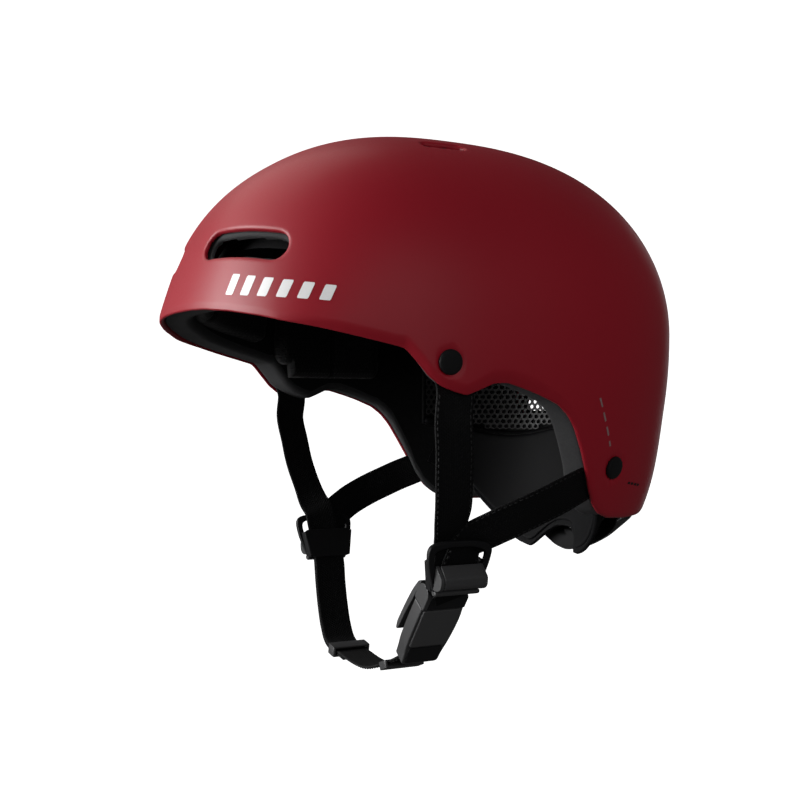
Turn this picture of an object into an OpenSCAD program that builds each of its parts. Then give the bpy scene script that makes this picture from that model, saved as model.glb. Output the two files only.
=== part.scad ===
// Water helmet: hard shell, foam liner, comfort pads, rear dial fit system,
// riveted webbing straps with locking splitters and a chin buckle with a pull tab.
// Millimetres. +Z is up, the brow faces -Y, the wearer's left is +X.
// The origin is the middle of the head opening at the helmet's widest level.

/* [Shell] */
// Half of the shell's width
half_w = 108; // [104:1:112]
// Length in front of the widest level's middle
front_l = 132.5; // [128:0.5:136]
// Length behind it
rear_l = 145.5; // [141:0.5:149]
// Height of the crown over the widest level
crown_h = 104; // [100:1:108]
// Depth at which the skirt would close below
skirt_h = 176; // [170:1:182]
// How far the rear skirt flares out at its foot
flare = 3.5; // [2:0.5:4]
// Wall thickness of the hard shell
shell_t = 3; // [2.5:0.1:3.4]

/* [Liner and pads] */
// Thickness of the foam liner
liner_t = 14; // [12:0.5:15]
// Gap between parts that lie face to face
gap = 0.3; // [0.2:0.05:0.4]
// Thickness of the comfort pads
pad_t = 6; // [4:0.5:7]
// Length of a front vent
vent_l = 55; // [44:1:58]
// Height of a front vent
vent_h = 13.5; // [8:0.5:14]

/* [Webbing] */
// Width of the strap webbing
web_w = 19; // [18:0.5:20]
// Thickness of one layer of webbing
web_t = 1.4; // [1.2:0.1:1.5]
// Distance from the middle of a double strap to each layer's middle
layer = 0.8; // [0.78:0.01:0.9]

/* [Strap hardware] */
// Radius of a strap rivet's head
rivet_r = 6; // [5:0.5:6.5]
// Width of a splitter at its top
splitter_w = 36; // [34:1:38]
// Height of a splitter
splitter_h = 26; // [25:1:27]
// Width of the buckle
buckle_w = 23; // [22:0.5:24]
// Length of the buckle's lower half
socket_l = 38; // [36:1:39]

/* [Fit dial] */
// Radius of the dial knob
dial_r = 14.5; // [14:0.5:16]
// Pitch radius of the pinion
pinion_r = 5; // [5:1:5]
// Number of pinion teeth
pinion_teeth = 10; // [10:1:10]

/* [Hidden] */
$fn = 48;

// Exponents of the dome: its profile, and its outline seen from above
profile_e = 0.8;
plan_n = 2 / 0.78;
// The shell's rim on the left half: angle round from the brow, height
rim = [[0, 6.4], [8, 6.2], [16, 5.4], [24, 3.4], [32, 0.3], [40, -4], [50, -9.3],
       [60.5, -14.7], [63, -20.5], [66, -27.5], [69, -31.6], [72.6, -34.2], [76, -36],
       [79.4, -33.8], [84, -30.5],
       [88, -30.2], [94, -33.3], [99, -36.3], [104, -39.7], [107.3, -44.4],
       [110, -50.5], [113, -60.2], [116.4, -71.8], [119.2, -82.1], [122.5, -90.1],
       [126, -95.1], [130, -97.8], [137, -98.8], [145, -98.6], [153, -97.6], [161, -95],
       [168, -91], [174, -87.6], [180, -86]];
rim_rows = 12;
// Insets below the shell's outer face
liner_out = shell_t + gap;
liner_in = liner_out + liner_t;
pad_out = liner_in + gap + 0.8;
pad_in = pad_out + pad_t;
cradle_out = 21;
cradle_in = 24;
band_mid = 19.6;

// Strap anchors: angle round from the brow, height
front_anchor = [71.5, -20];
rear_anchor = [126, -71.4];
strap_in = shell_t + 1.2;
front_in = shell_t + 2.6;

// Splitters: middle, and tilt of the plate from upright
split_at = [80, -16.8, -118.8];
split_tilt = 13.7;
split_strap = -3;

// Buckle: seam between its halves, and tilt of the strap there
buckle_at = [62, -16.8, -138.3];
buckle_tilt = 37.6;

// Route of the chin strap from the right splitter to the buckle, x and z
chin_route = [[-71.2, -146], [-68, -158.5], [-63.5, -170], [-57, -178], [-33, -182.6],
              [-18, -184], [-5, -183.4], [9, -179.8], [33, -170.8], [40, -167]];
chin_y = split_at.y;
tail_end = 5;

// Dial: place on the rear, depth of its housing's front, and its sizes
dial_angle = 180;
dial_z = -105;
dial_depth = 15.6;
housing_w = 50;
housing_h = 23;
housing_d = 8;
plate_d = 1.5;
knob_d = 7;
rack_w = 3.4;
rack_l = 20.6;
cavity_d = 4.6;

// ---------- Geometry of the dome ----------
function unit(v) = v / norm(v);
function plan_r(a, i) =
    pow(pow(abs(sin(a)) / (half_w - i), plan_n)
        + pow(abs(cos(a)) / ((cos(a) > 0 ? front_l : rear_l) - i), plan_n), -1 / plan_n);
function level_h(z, i) = z > 0 ? crown_h - i : skirt_h;
function ramp(x, low, high) =
    let (t = min(1, max(0, (x - low) / (high - low)))) t * t * (3 - 2 * t);
function flare_at(a, z) = flare * ramp(-z, 40, 98) * ramp(180 - abs(180 - a), 122, 148);
function dome_at(a, e, i) =
    let (z = level_h(e, i) * sin(e),
         r = plan_r(a, i) * pow(cos(e), profile_e) + flare_at(a, z))
    [r * sin(a), -r * cos(a), z];
function elev(z, i) = asin(z / level_h(z, i));
function on_dome(a, z, i = 0) = dome_at(a, elev(z, i), i);
function out_dir(a, z) =
    let (e = elev(z, 0),
         across = dome_at(a + 0.5, e, 0) - dome_at(a - 0.5, e, 0),
         up = dome_at(a, e + 0.5, 0) - dome_at(a, e - 0.5, 0))
    unit(cross(across, up));
function right_dir(a, z) = unit(cross([0, 0, 1], out_dir(a, z)));

// Places children on the dome: x runs round it, y up it and z out of it
module on_shell(a, z, i = 0) {
    p = on_dome(a, z, i);
    n = out_dir(a, z);
    r = right_dir(a, z);
    u = cross(n, r);
    multmatrix([[r.x, u.x, n.x, p.x], [r.y, u.y, n.y, p.y], [r.z, u.z, n.z, p.z],
                [0, 0, 0, 1]])
        children();
}

module both_sides() {
    children();
    mirror([1, 0, 0]) children();
}

// The whole way round, from the left half's points
function all_round(half) =
    concat(half, [for (k = [len(half) - 2:-1:1]) [360 - half[k][0], half[k][1]]]);

// Closed dome wall between two insets, from a lower edge up to the crown
module dome_wall(edge, i_out, i_in, lift, rows) {
    n = len(edge);
    function ring(i) = [
        for (j = [0:rows - 1]) for (c = edge)
            let (e = elev(c[1] + lift, i)) dome_at(c[0], e + (90 - e) * j / rows, i)];
    points = concat(ring(i_out), ring(i_in),
                    [[0, 0, crown_h - i_out], [0, 0, crown_h - i_in]]);
    inner = n * rows;
    top_out = 2 * inner;
    top_in = top_out + 1;
    last = n * (rows - 1);
    function nxt(k) = (k + 1) % n;
    faces = concat(
        [for (j = [0:rows - 2]) for (k = [0:n - 1])
            let (a = j * n + k, b = j * n + nxt(k), d = a + n, c = b + n)
            each [[a, d, c], [a, c, b], [inner + a, inner + c, inner + d],
                  [inner + a, inner + b, inner + c]]],
        [for (k = [0:n - 1])
            each [[last + k, top_out, last + nxt(k)],
                  [inner + last + k, inner + last + nxt(k), top_in],
                  [k, nxt(k), inner + nxt(k)], [k, inner + nxt(k), inner + k]]]);
    polyhedron(points, faces, convexity = 6);
}

// Closed patch of the dome between two insets; each column is angle, low z, high z.
// The outer face comes in by taper more at its lower edge
module dome_patch(cols, i_out, i_in, rows = 5, taper = 0) {
    n = len(cols);
    m = rows + 1;
    function sheet(i, taper) = [
        for (c = cols) for (j = [0:rows])
            on_dome(c[0], c[1] + (c[2] - c[1]) * j / rows, i + taper * pow(1 - j / rows, 2))];
    inner = n * m;
    points = concat(sheet(i_out, taper), sheet(i_in, 0));
    faces = concat(
        [for (k = [0:n - 2]) for (j = [0:rows - 1])
            let (a = k * m + j, d = a + 1, b = a + m, c = b + 1)
            each [[a, d, c], [a, c, b], [inner + a, inner + c, inner + d],
                  [inner + a, inner + b, inner + c]]],
        [for (k = [0:n - 2])
            let (a = k * m, b = a + m, d = a + rows, c = b + rows)
            each [[a, b, inner + b], [a, inner + b, inner + a],
                  [c, d, inner + d], [c, inner + d, inner + c]]],
        [for (j = [0:rows - 1])
            let (a = j, d = j + 1, b = (n - 1) * m + j, c = b + 1)
            each [[d, a, inner + a], [d, inner + a, inner + d],
                  [b, c, inner + c], [b, inner + c, inner + b]]]);
    polyhedron(points, faces, convexity = 6);
}

// ---------- Webbing ----------
function along(p, k) = unit(p[min(k + 1, len(p) - 1)] - p[max(k - 1, 0)]);
function square_to(v, t) = unit(v - (v * t) * t);

// Flat webbing swept along points; outs are the directions its outer face looks
module webbing(p, outs, off = 0) {
    n = len(p);
    points = [
        for (k = [0:n - 1])
            let (t = along(p, k), o = square_to(outs[k], t), w = cross(o, t), q = p[k] + off * o)
            each [q - w * web_w / 2 - o * web_t / 2, q + w * web_w / 2 - o * web_t / 2,
                  q + w * web_w / 2 + o * web_t / 2, q - w * web_w / 2 + o * web_t / 2]];
    e = 4 * (n - 1);
    faces = concat(
        [[0, 1, 2], [0, 2, 3], [e + 3, e + 2, e + 1], [e + 3, e + 1, e]],
        [for (k = [0:n - 2]) for (s = [0:3])
            let (a = 4 * k + s, b = 4 * k + (s + 1) % 4)
            each [[b, a, a + 4], [b, a + 4, b + 4]]]);
    polyhedron(points, faces, convexity = 6);
}

// A point of the strap's middle line in the left splitter, at height v on its plate
function in_splitter(v, n = split_strap) =
    [split_at.x + v * sin(split_tilt) + n * cos(split_tilt), split_at.y,
     split_at.z + v * cos(split_tilt) - n * sin(split_tilt)];
split_out = [cos(split_tilt), 0, -sin(split_tilt)];
buckle_out = [cos(buckle_tilt), 0, -sin(buckle_tilt)];
function in_buckle(v) =
    [buckle_at.x + v * sin(buckle_tilt), buckle_at.y, buckle_at.z + v * cos(buckle_tilt)];
function to_right(p) = [-p.x, p.y, p.z];

// Front strap down to the left splitter's foot
front_top = [
    on_dome(69.6, -9, front_in), on_dome(71.5, -20, front_in), on_dome(73.2, -32, front_in),
    [100.2, -31, -46], [97.6, -29, -60], [94.3, -26.5, -74], [89.4, -22.2, -88],
    [84.6, -18.6, -97], in_splitter(15), in_splitter(9), in_splitter(-14)];
anchor_out = out_dir(front_anchor[0], front_anchor[1]);
front_outs = [
    for (k = [0:len(front_top) - 1]) k < 3 ? anchor_out : k < 7 ? [0.96, -0.15, -0.2] : split_out];

// Rear strap to the left splitter's top
rear_top = [
    on_dome(128.8, -66.5, strap_in), on_dome(126, -71.4, strap_in),
    on_dome(121.2, -77.6, strap_in), [93, 40, -83.3], [93.2, 30, -87.2], [92.4, 20, -91],
    [90, 10, -95], [85.8, 0, -99.5], in_splitter(11.5) + [-1.2, 7, 0],
    in_splitter(9) + [-0.6, 2.5, 0]];
rear_out = out_dir(rear_anchor[0], rear_anchor[1]);
rear_outs = [
    for (k = [0:len(rear_top) - 1])
        k < 3 ? rear_out : k < 6 ? [0.98, 0.05, -0.2] : k < 8 ? [0.95, -0.15, -0.24] : split_out];

// Short stretch of the left double strap between splitter and buckle
link_route = [in_splitter(-14), in_buckle(12.2), in_buckle(4.5)];
left_front_route = concat(front_top, [in_buckle(12.2), in_buckle(4.5)]);
left_front_outs = concat(front_outs, [buckle_out, buckle_out]);

// The chin strap's points with the directions its outer face looks
chin_points = [for (c = chin_route) [c[0], chin_y, c[1]]];
right_front_route = concat([for (p = front_top) to_right(p)], chin_points, [in_buckle(-29.5)]);
function outward(p, k) = cross([0, 1, 0], along(p, k));
right_front_outs = [
    for (k = [0:len(right_front_route) - 1])
        k < 8 ? to_right(front_outs[k]) : outward(right_front_route, k)];
right_tail_route = concat([to_right(in_splitter(10)), to_right(in_splitter(-14))],
                          [for (k = [0:tail_end - 1]) chin_points[k]]);
right_tail_outs = [for (k = [0:len(right_tail_route) - 1]) outward(right_tail_route, k)];

// Places children on a strap: x across it, y up it and z out of it
module on_strap(p, tilt) {
    multmatrix([[0, sin(tilt), cos(tilt), p.x], [1, 0, 0, p.y],
                [0, cos(tilt), -sin(tilt), p.z], [0, 0, 0, 1]])
        children();
}
module at_left_splitter() { on_strap(split_at, split_tilt) children(); }
module at_right_splitter() { mirror([1, 0, 0]) at_left_splitter() children(); }
module at_buckle() { on_strap(buckle_at, buckle_tilt) children(); }

// ---------- Small shapes ----------
// Block between two corners
module block(low, high) { translate(low) cube(high - low); }

// Flat slot outline
module slot(length, width) {
    square([length - width, width], center = true);
    for (s = [-1, 1]) translate([s * (length - width) / 2, 0]) circle(d = width);
}

// Plate outline with rounded top corners, wide above and narrow below
module shield(top_w, foot_w, height, corner) {
    x = top_w / 2 - corner;
    y = height / 2 - corner;
    polygon([[-foot_w / 2, -height / 2], [foot_w / 2, -height / 2],
             [top_w / 2 - 0.4, y - corner / 2], [x + corner * 0.94, y + corner * 0.34],
             [x, height / 2], [-x, height / 2],
             [-x - corner * 0.94, y + corner * 0.34], [-top_w / 2 + 0.4, y - corner / 2]]);
    for (s = [-1, 1]) translate([s * x, y]) circle(r = corner);
}

// Block whose four corners along z are rounded
module soft_block(low, high, r) {
    size = high - low;
    translate([(low.x + high.x) / 2, (low.y + high.y) / 2, low.z])
        linear_extrude(size.z) {
            square([size.x, size.y - 2 * r], center = true);
            square([size.x - 2 * r, size.y], center = true);
            for (sx = [-1, 1]) for (sy = [-1, 1])
                translate([sx * (size.x / 2 - r), sy * (size.y / 2 - r)]) circle(r = r);
        }
}

// ---------- Shell and liner ----------
module vent_cutters(depth, grow) {
    both_sides() {
        on_shell(25.5, 35.9) rotate(-7)
            translate([-6.5, 0.5, -depth]) linear_extrude(depth + 8)
                slot(vent_l + grow, vent_h + grow);
        on_shell(78, 92)
            translate([0, 0, -depth]) linear_extrude(depth + 8) slot(24 + grow, 8 + grow);
        on_shell(161, -38)
            translate([0, 0, -depth]) linear_extrude(depth + 8) slot(46 + grow, 11 + grow);
    }
}

module at_anchors() {
    both_sides() {
        on_shell(front_anchor[0], front_anchor[1]) children();
        on_shell(rear_anchor[0], rear_anchor[1]) children();
    }
}

module outer_shell() {
    color([0.5, 0.07, 0.1]) difference() {
        dome_wall(all_round(rim), 0, shell_t, 0, rim_rows);
        vent_cutters(7, 0);
        at_anchors() cylinder(r = 2.5, h = 16, center = true);
    }
}

module strap_pocket(turn, depth) {
    rotate(turn) translate([-web_w / 2 - 5.5, -40, -depth]) cube([web_w + 11, 56, depth - 1.2]);
}

module foam_liner() {
    color([0.2, 0.2, 0.21]) difference() {
        dome_wall(all_round(rim), liner_out, liner_in, 1.2, rim_rows);
        vent_cutters(26, -3);
        both_sides() {
            on_shell(front_anchor[0], front_anchor[1]) strap_pocket(7, 10);
            on_shell(rear_anchor[0], rear_anchor[1]) strap_pocket(-42, 15.5);
        }
    }
}

// ---------- Comfort pads ----------
module brow_pad() {
    color([0.09, 0.09, 0.09])
        dome_patch([for (a = [-54:9:54]) [a, 12 - 14 * pow(a / 54, 2), 36]],
                   pad_out, pad_in, 4);
}

module crown_pad() {
    color([0.09, 0.09, 0.09])
        dome_wall([for (a = [0:15:345]) [a, 76]], pad_out, pad_in, 0, 4);
}

module side_pad() {
    color([0.09, 0.09, 0.09])
        dome_patch([for (a = [62:6:104]) [a, -14 - 8 * (a > 66 ? 1 : 0), 34]],
                   pad_out, pad_in, 4);
}

// ---------- Rear mesh and nape ----------
mesh_half = 56;
function mesh_low(a) = -46 - 9 * pow(cos((abs(a - 180) - 28) * 3.2), 2);
module rear_mesh_pad() {
    color([0.12, 0.12, 0.12])
        dome_patch([for (a = [180 - mesh_half:8:180 + mesh_half]) [a, mesh_low(a), -6]],
                   pad_out, pad_out + 2.4, 4);
}

module mesh_rib() {
    color([0.1, 0.1, 0.1])
        dome_patch([for (a = [180 - mesh_half:8:180 + mesh_half])
                        [a, mesh_low(a) - 5, mesh_low(a) - gap]],
                   pad_out, pad_out + 4.6, 1);
}

// Lower edge of the cradle on the left half: angle round, height
cradle_edge = [[141, -84], [146, -95], [152, -108], [158, -118], [166, -122],
               [173, -119], [180, -111]];
module nape_cradle() {
    color([0.1, 0.1, 0.11])
        dome_patch([for (c = all_round(concat([[0, 0]], cradle_edge)))
                        if (c[0] > 0) [c[0], c[1], -62]],
                   cradle_out, cradle_in, 5);
}

module nape_pad() {
    color([0.14, 0.14, 0.15])
        dome_patch([for (c = all_round(concat([[0, 0]], cradle_edge)))
                        if (c[0] > 141 && c[0] < 219) [c[0], c[1] + 3, -62]],
                   cradle_in + gap, cradle_in + gap + 4, 5);
}

// Moulded cover that carries the rear on under the shell's rim and frames the dial
cover_edge = [[148.5, -101.5], [152, -106], [156, -111], [161, -117], [167, -122],
              [173, -125.5], [180, -127]];
module nape_housing() {
    color([0.06, 0.06, 0.06]) difference() {
        dome_patch([for (c = all_round(concat([[0, 0]], cover_edge)))
                        if (c[0] > 0) let (rise = 12 * ramp(180 - abs(180 - c[0]), 148, 180))
                            [c[0], c[1], rise - 100]],
                   4, 11.5, 5, 5);
        at_dial() {
            translate([0, 0, -8]) linear_extrude(dial_depth + 2) dial_outline(1);
            translate([0, 0, -8]) cylinder(r = dial_r + 0.8, h = 40);
        }
    }
}

module fit_band() {
    route = [for (k = [0:7]) on_dome(165.5 - 5.7 * k, -105 + 5 * k, band_mid)];
    outs = [for (k = [0:7]) out_dir(165.5 - 5.7 * k, -105 + 5 * k)];
    n = len(route);
    points = [
        for (k = [0:n - 1])
            let (t = along(route, k), o = square_to(outs[k], t), w = cross(o, t))
            each [route[k] - w * 4.5 - o * 0.7, route[k] + w * 4.5 - o * 0.7,
                  route[k] + w * 4.5 + o * 0.7, route[k] - w * 4.5 + o * 0.7]];
    e = 4 * (n - 1);
    color([0.08, 0.08, 0.08]) polyhedron(points, concat(
        [[0, 1, 2], [0, 2, 3], [e + 3, e + 2, e + 1], [e + 3, e + 1, e]],
        [for (k = [0:n - 2]) for (s = [0:3])
            let (a = 4 * k + s, b = 4 * k + (s + 1) % 4)
            each [[b, a, a + 4], [b, a + 4, b + 4]]]), convexity = 4);
}

// ---------- Fit dial ----------
// Here x runs across, y up and z out of the rear, from the housing's front
module at_dial() {
    on_shell(dial_angle, dial_z) translate([0, 0, -dial_depth]) children();
}

module dial_outline(grow = 0) {
    slot(housing_w + grow, housing_h + grow);
}

module dial_housing() {
    color([0.07, 0.07, 0.07]) at_dial() difference() {
        linear_extrude(housing_d) dial_outline();
        translate([0, 0, housing_d - cavity_d]) linear_extrude(cavity_d + 1) dial_outline(-2.4);
        translate([0, 0, 1.2]) cylinder(r = 2.05, h = housing_d);
    }
}

module dial_back_plate() {
    color([0.06, 0.06, 0.06]) at_dial() translate([0, 0, housing_d + 0.05]) difference() {
        linear_extrude(plate_d) dial_outline();
        translate([0, 0, -1]) cylinder(r = 3.55, h = plate_d + 2);
    }
}

module dial_knob() {
    z0 = housing_d + plate_d + 0.4;
    color([0.05, 0.05, 0.05]) at_dial() difference() {
        union() {
            translate([0, 0, z0]) cylinder(r = dial_r, h = knob_d);
            translate([0, 0, z0 - 2]) cylinder(r = 3.5, h = 2.5);
        }
        for (k = [0:15]) rotate(k * 22.5)
            translate([dial_r + 1.1, 0, z0 - 1]) cylinder(r = 2, h = 12);
        translate([0, 0, z0 + 4]) cylinder(r = 4.2, h = 5);
        translate([0, 0, z0 - 4]) cylinder(r = 1.3, h = 12);
    }
}

module pinion_outline() {
    root_r = pinion_r - 1.15;
    tip_r = pinion_r + 0.75;
    circle(r = root_r);
    for (k = [0:pinion_teeth - 1]) rotate(k * 360 / pinion_teeth)
        polygon([[root_r - 0.6, -0.95], [pinion_r, -0.58], [tip_r, -0.25],
                 [tip_r, 0.25], [pinion_r, 0.58], [root_r - 0.6, 0.95]]);
}

module dial_pinion() {
    z0 = housing_d - cavity_d + 0.3;
    color([0.75, 0.75, 0.72]) at_dial() difference() {
        union() {
            translate([0, 0, z0]) linear_extrude(cavity_d - 0.8) pinion_outline();
            translate([0, 0, 1.4]) cylinder(r = 2, h = z0 - 1);
        }
        translate([0, 0, z0 - 0.2]) cylinder(r = 1.02, h = cavity_d + 1);
    }
}

module dial_screw() {
    z0 = housing_d + plate_d + 0.4;
    color([0.6, 0.6, 0.62]) at_dial() {
        difference() {
            translate([0, 0, z0 + 4.05]) cylinder(r = 3.2, h = 1.6);
            for (turn = [0, 90]) rotate(turn)
                translate([-2, -0.4, z0 + 5]) cube([4, 0.8, 2]);
        }
        translate([0, 0, housing_d - cavity_d + 0.4])
            cylinder(r = 1, h = z0 + 4.1 - housing_d + cavity_d - 0.4);
    }
}

// Rack beyond the pinion on the side of +x and of +y in the dial's own directions
module rack_strip() {
    pitch = 2 * PI * pinion_r / pinion_teeth;
    base = pinion_r + 0.95;
    tip = pinion_r - 0.7;
    z0 = housing_d - cavity_d + 0.3;
    translate([0, 0, z0]) linear_extrude(cavity_d - 0.8) {
        translate([-rack_l / 2, base]) square([rack_l, rack_w - 0.6]);
        for (k = [-3:3]) translate([k * pitch, 0])
            polygon([[-0.85, base + 0.1], [-0.5, pinion_r], [-0.2, tip],
                     [0.2, tip], [0.5, pinion_r], [0.85, base + 0.1]]);
    }
}

module left_rack() { color([0.08, 0.08, 0.08]) at_dial() rack_strip(); }
module right_rack() { color([0.08, 0.08, 0.08]) at_dial() rotate(180) rack_strip(); }

// ---------- Anchors and webbing ----------
module strap_rivets() {
    color([0.04, 0.04, 0.04]) at_anchors() difference() {
        union() {
            translate([0, 0, 0.15]) cylinder(r = rivet_r, h = 1.2);
            translate([0, 0, 1.35]) cylinder(r1 = rivet_r, r2 = rivet_r - 1.2, h = 0.7);
            translate([0, 0, -7.9]) cylinder(r = 2.4, h = 8.2);
        }
        translate([0, 0, 1.5]) cylinder(r = 2.2, h = 1);
    }
}

module rivet_washers() {
    color([0.55, 0.55, 0.56]) at_anchors() translate([0, 0, -7.6]) difference() {
        cylinder(r = 6.5, h = 1.2);
        translate([0, 0, -1]) cylinder(r = 2.45, h = 4);
    }
}

module rivet_bore(a) {
    on_shell(a[0], a[1]) cylinder(r = 2.6, h = 20, center = true);
}

module left_front_strap() {
    color([0.03, 0.03, 0.03]) difference() {
        webbing(left_front_route, left_front_outs, layer);
        rivet_bore(front_anchor);
    }
}

module rear_run() {
    difference() {
        webbing(rear_top, rear_outs, -layer);
        rivet_bore(rear_anchor);
    }
}

module left_rear_strap() {
    color([0.03, 0.03, 0.03]) {
        rear_run();
        webbing(concat([in_splitter(10)], link_route), [split_out, split_out, buckle_out, buckle_out],
                -layer);
    }
}

module right_front_strap() {
    color([0.03, 0.03, 0.03]) difference() {
        webbing(right_front_route, right_front_outs, layer);
        mirror([1, 0, 0]) rivet_bore(front_anchor);
    }
}

module right_rear_strap() {
    color([0.03, 0.03, 0.03]) {
        mirror([1, 0, 0]) rear_run();
        webbing(right_tail_route, right_tail_outs, -layer);
    }
}

// ---------- Splitters ----------
// Plate from n = -1.3 to 1.3; the straps run behind it and the lever is in front
pin_at = [-7, 3.7];
module splitter() {
    difference() {
        union() {
            translate([0, 0, -1.3]) linear_extrude(2.6)
                shield(splitter_w, splitter_w - 9, splitter_h, 5);
            for (s = [-1, 1]) {
                block([s * 11.3 - 1.1, -11, -6.4], [s * 11.3 + 1.1, -5, -1.2]);
                translate([s * 13.2 - 1, pin_at[0], pin_at[1]]) rotate([0, 90, 0])
                    cylinder(r = 2.6, h = 2);
                block([s * 13.2 - 1, pin_at[0] - 2.6, 1.2],
                    [s * 13.2 + 1, pin_at[0] + 2.6, pin_at[1]]);
            }
            block([-12.4, -11, -6.4], [12.4, -5, -5]);
        }
        block([-10.8, -9, -2], [10.8, 8.2, 3]);
        for (s = [-1, 1]) translate([s * 14.3, 8.6, -3]) cylinder(r = 1.8, h = 6);
        translate([-20, pin_at[0], pin_at[1]]) rotate([0, 90, 0]) cylinder(r = 1.02, h = 40);
    }
}

module lock_lever() {
    difference() {
        union() {
            soft_block([-11.8, -8.8, 2.1], [11.8, 3.4, 8.6], 1.5);
        }
        translate([-20, pin_at[0], pin_at[1]]) rotate([0, 90, 0]) cylinder(r = 1.05, h = 40);
        block([-8, -4.5, 0], [8, 0.3, 4]);
    }
}

module left_splitter() { color([0.05, 0.05, 0.05]) at_left_splitter() splitter(); }
module right_splitter() { color([0.05, 0.05, 0.05]) at_right_splitter() splitter(); }
module left_lock_lever() { color([0.09, 0.09, 0.09]) at_left_splitter() lock_lever(); }
module right_lock_lever() { color([0.09, 0.09, 0.09]) at_right_splitter() lock_lever(); }

module lock_pins() {
    color([0.6, 0.6, 0.6]) both_sides() at_left_splitter()
        translate([-14.2, pin_at[0], pin_at[1]]) rotate([0, 90, 0]) cylinder(r = 1, h = 28.4);
}

// ---------- Buckle ----------
half_bw = buckle_w / 2;
tab_pin = [8, -4.6];
module buckle_tongue() {
    color([0.08, 0.08, 0.08]) at_buckle() difference() {
        union() {
            soft_block([-half_bw, 0.3, -6.1], [half_bw, 12, 4.6], 2);
            soft_block([-7.5, -18, -1.6], [7.5, 3, 1.2], 1.5);
        }
        block([-web_w / 2 - 0.4, 3.5, -1.9], [web_w / 2 + 0.4, 14, 3.2]);
        translate([0, -10, -0.4]) cylinder(r = 4.05, h = 4);
        block([-6.4, 4.6, -7], [6.4, 13, -2.4]);
        translate([-8.5, tab_pin[0], tab_pin[1]]) rotate([0, 90, 0]) cylinder(r = 1.02, h = 17);
    }
}

module buckle_socket() {
    color([0.08, 0.08, 0.08]) at_buckle() difference() {
        union() {
            soft_block([-half_bw, -socket_l + 6, -5], [half_bw, 0, 3.4], 1.5);
            translate([0, 0, -5]) linear_extrude(8.4)
                polygon([[-half_bw, -socket_l + 8], [half_bw, -socket_l + 8],
                         [half_bw - 2.2, -socket_l], [-half_bw + 2.2, -socket_l]]);
        }
        block([-7.9, -18.5, -2], [7.9, 1, 1.6]);
        translate([0, -10, -3.6]) cylinder(r = 4.05, h = 2);
        block([-web_w / 2 - 0.2, -socket_l - 1, -1], [web_w / 2 + 0.2, -socket_l + 9.5, 2]);
    }
}

module buckle_cover() {
    color([0.11, 0.11, 0.11]) at_buckle() difference() {
        soft_block([-half_bw + 0.8, -socket_l + 7, 3.45], [half_bw - 0.8, -0.6, 5], 1.5);
        for (k = [0:3]) block([-7, -socket_l + 12 + 4 * k, 4.7], [7, -socket_l + 12.8 + 4 * k, 6]);
    }
}

// Lever on the inner face, hinged on a pin through the tongue's head
module buckle_pull_tab() {
    color([0.16, 0.16, 0.16]) at_buckle() difference() {
        union() {
            soft_block([-half_bw, -27, -9.6], [half_bw, 9.2, -6.6], 3);
            block([-6, 5, -6.8], [6, 9, -5.2]);
            for (s = [-1, 1]) translate([s * 4 - 2, tab_pin[0], tab_pin[1]]) rotate([0, 90, 0])
                cylinder(r = 2.1, h = 4);
        }
        translate([-20, tab_pin[0], tab_pin[1]]) rotate([0, 90, 0]) cylinder(r = 1.05, h = 40);
        for (k = [0:3]) block([-8, -24 + 2.5 * k, -10], [8, -22.8 + 2.5 * k, -8.8]);
    }
}

module tab_pin_rod() {
    color([0.6, 0.6, 0.6]) at_buckle() translate([-8.5, tab_pin[0], tab_pin[1]])
        rotate([0, 90, 0]) cylinder(r = 1, h = 17);
}

module buckle_magnets() {
    color([0.7, 0.7, 0.72]) at_buckle() {
        translate([0, -10, -0.3]) cylinder(r = 4, h = 1.4);
        translate([0, -10, -3.5]) cylinder(r = 4, h = 1.3);
    }
}

// ---------- Strap keepers ----------
// Straight stretches of the chin strap that the keepers slide on
function stretch_mid(k) = (chin_points[k] + chin_points[k + 1]) / 2;
function stretch_tilt(k) =
    let (t = unit(chin_points[k + 1] - chin_points[k])) atan2(t.x, t.z);

module keeper(inner) {
    color([0.1, 0.1, 0.1]) difference() {
        soft_block([-11.6, -4, inner[0] - 1.1], [11.6, 4, inner[1] + 1.1], 1);
        block([-web_w / 2 - 0.5, -6, inner[0]], [web_w / 2 + 0.5, 6, inner[1]]);
    }
}

module chin_keeper() {
    on_strap(stretch_mid(3), stretch_tilt(3)) keeper([-1.9, 1.9]);
}

module buckle_keeper() {
    on_strap(stretch_mid(7), stretch_tilt(7)) translate([0, 0, 0.8]) keeper([-1.1, 1.1]);
}

outer_shell();
foam_liner();
brow_pad();
crown_pad();
side_pad();  // left_side_pad
mirror([1, 0, 0]) side_pad();  // right_side_pad
rear_mesh_pad();
mesh_rib();
nape_cradle();
nape_pad();
nape_housing();
fit_band();  // left_fit_band
mirror([1, 0, 0]) fit_band();  // right_fit_band
dial_housing();
dial_back_plate();
dial_knob();
dial_pinion();
dial_screw();
left_rack();
right_rack();
strap_rivets();
rivet_washers();
left_front_strap();
left_rear_strap();
right_front_strap();
right_rear_strap();
left_splitter();
right_splitter();
left_lock_lever();
right_lock_lever();
lock_pins();
buckle_tongue();
buckle_socket();
buckle_cover();
buckle_pull_tab();
tab_pin_rod();  // tab_pin
buckle_magnets();
chin_keeper();
buckle_keeper();
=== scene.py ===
import math
import bmesh
import bpy
import numpy as np
from mathutils import Matrix, Vector


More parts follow.
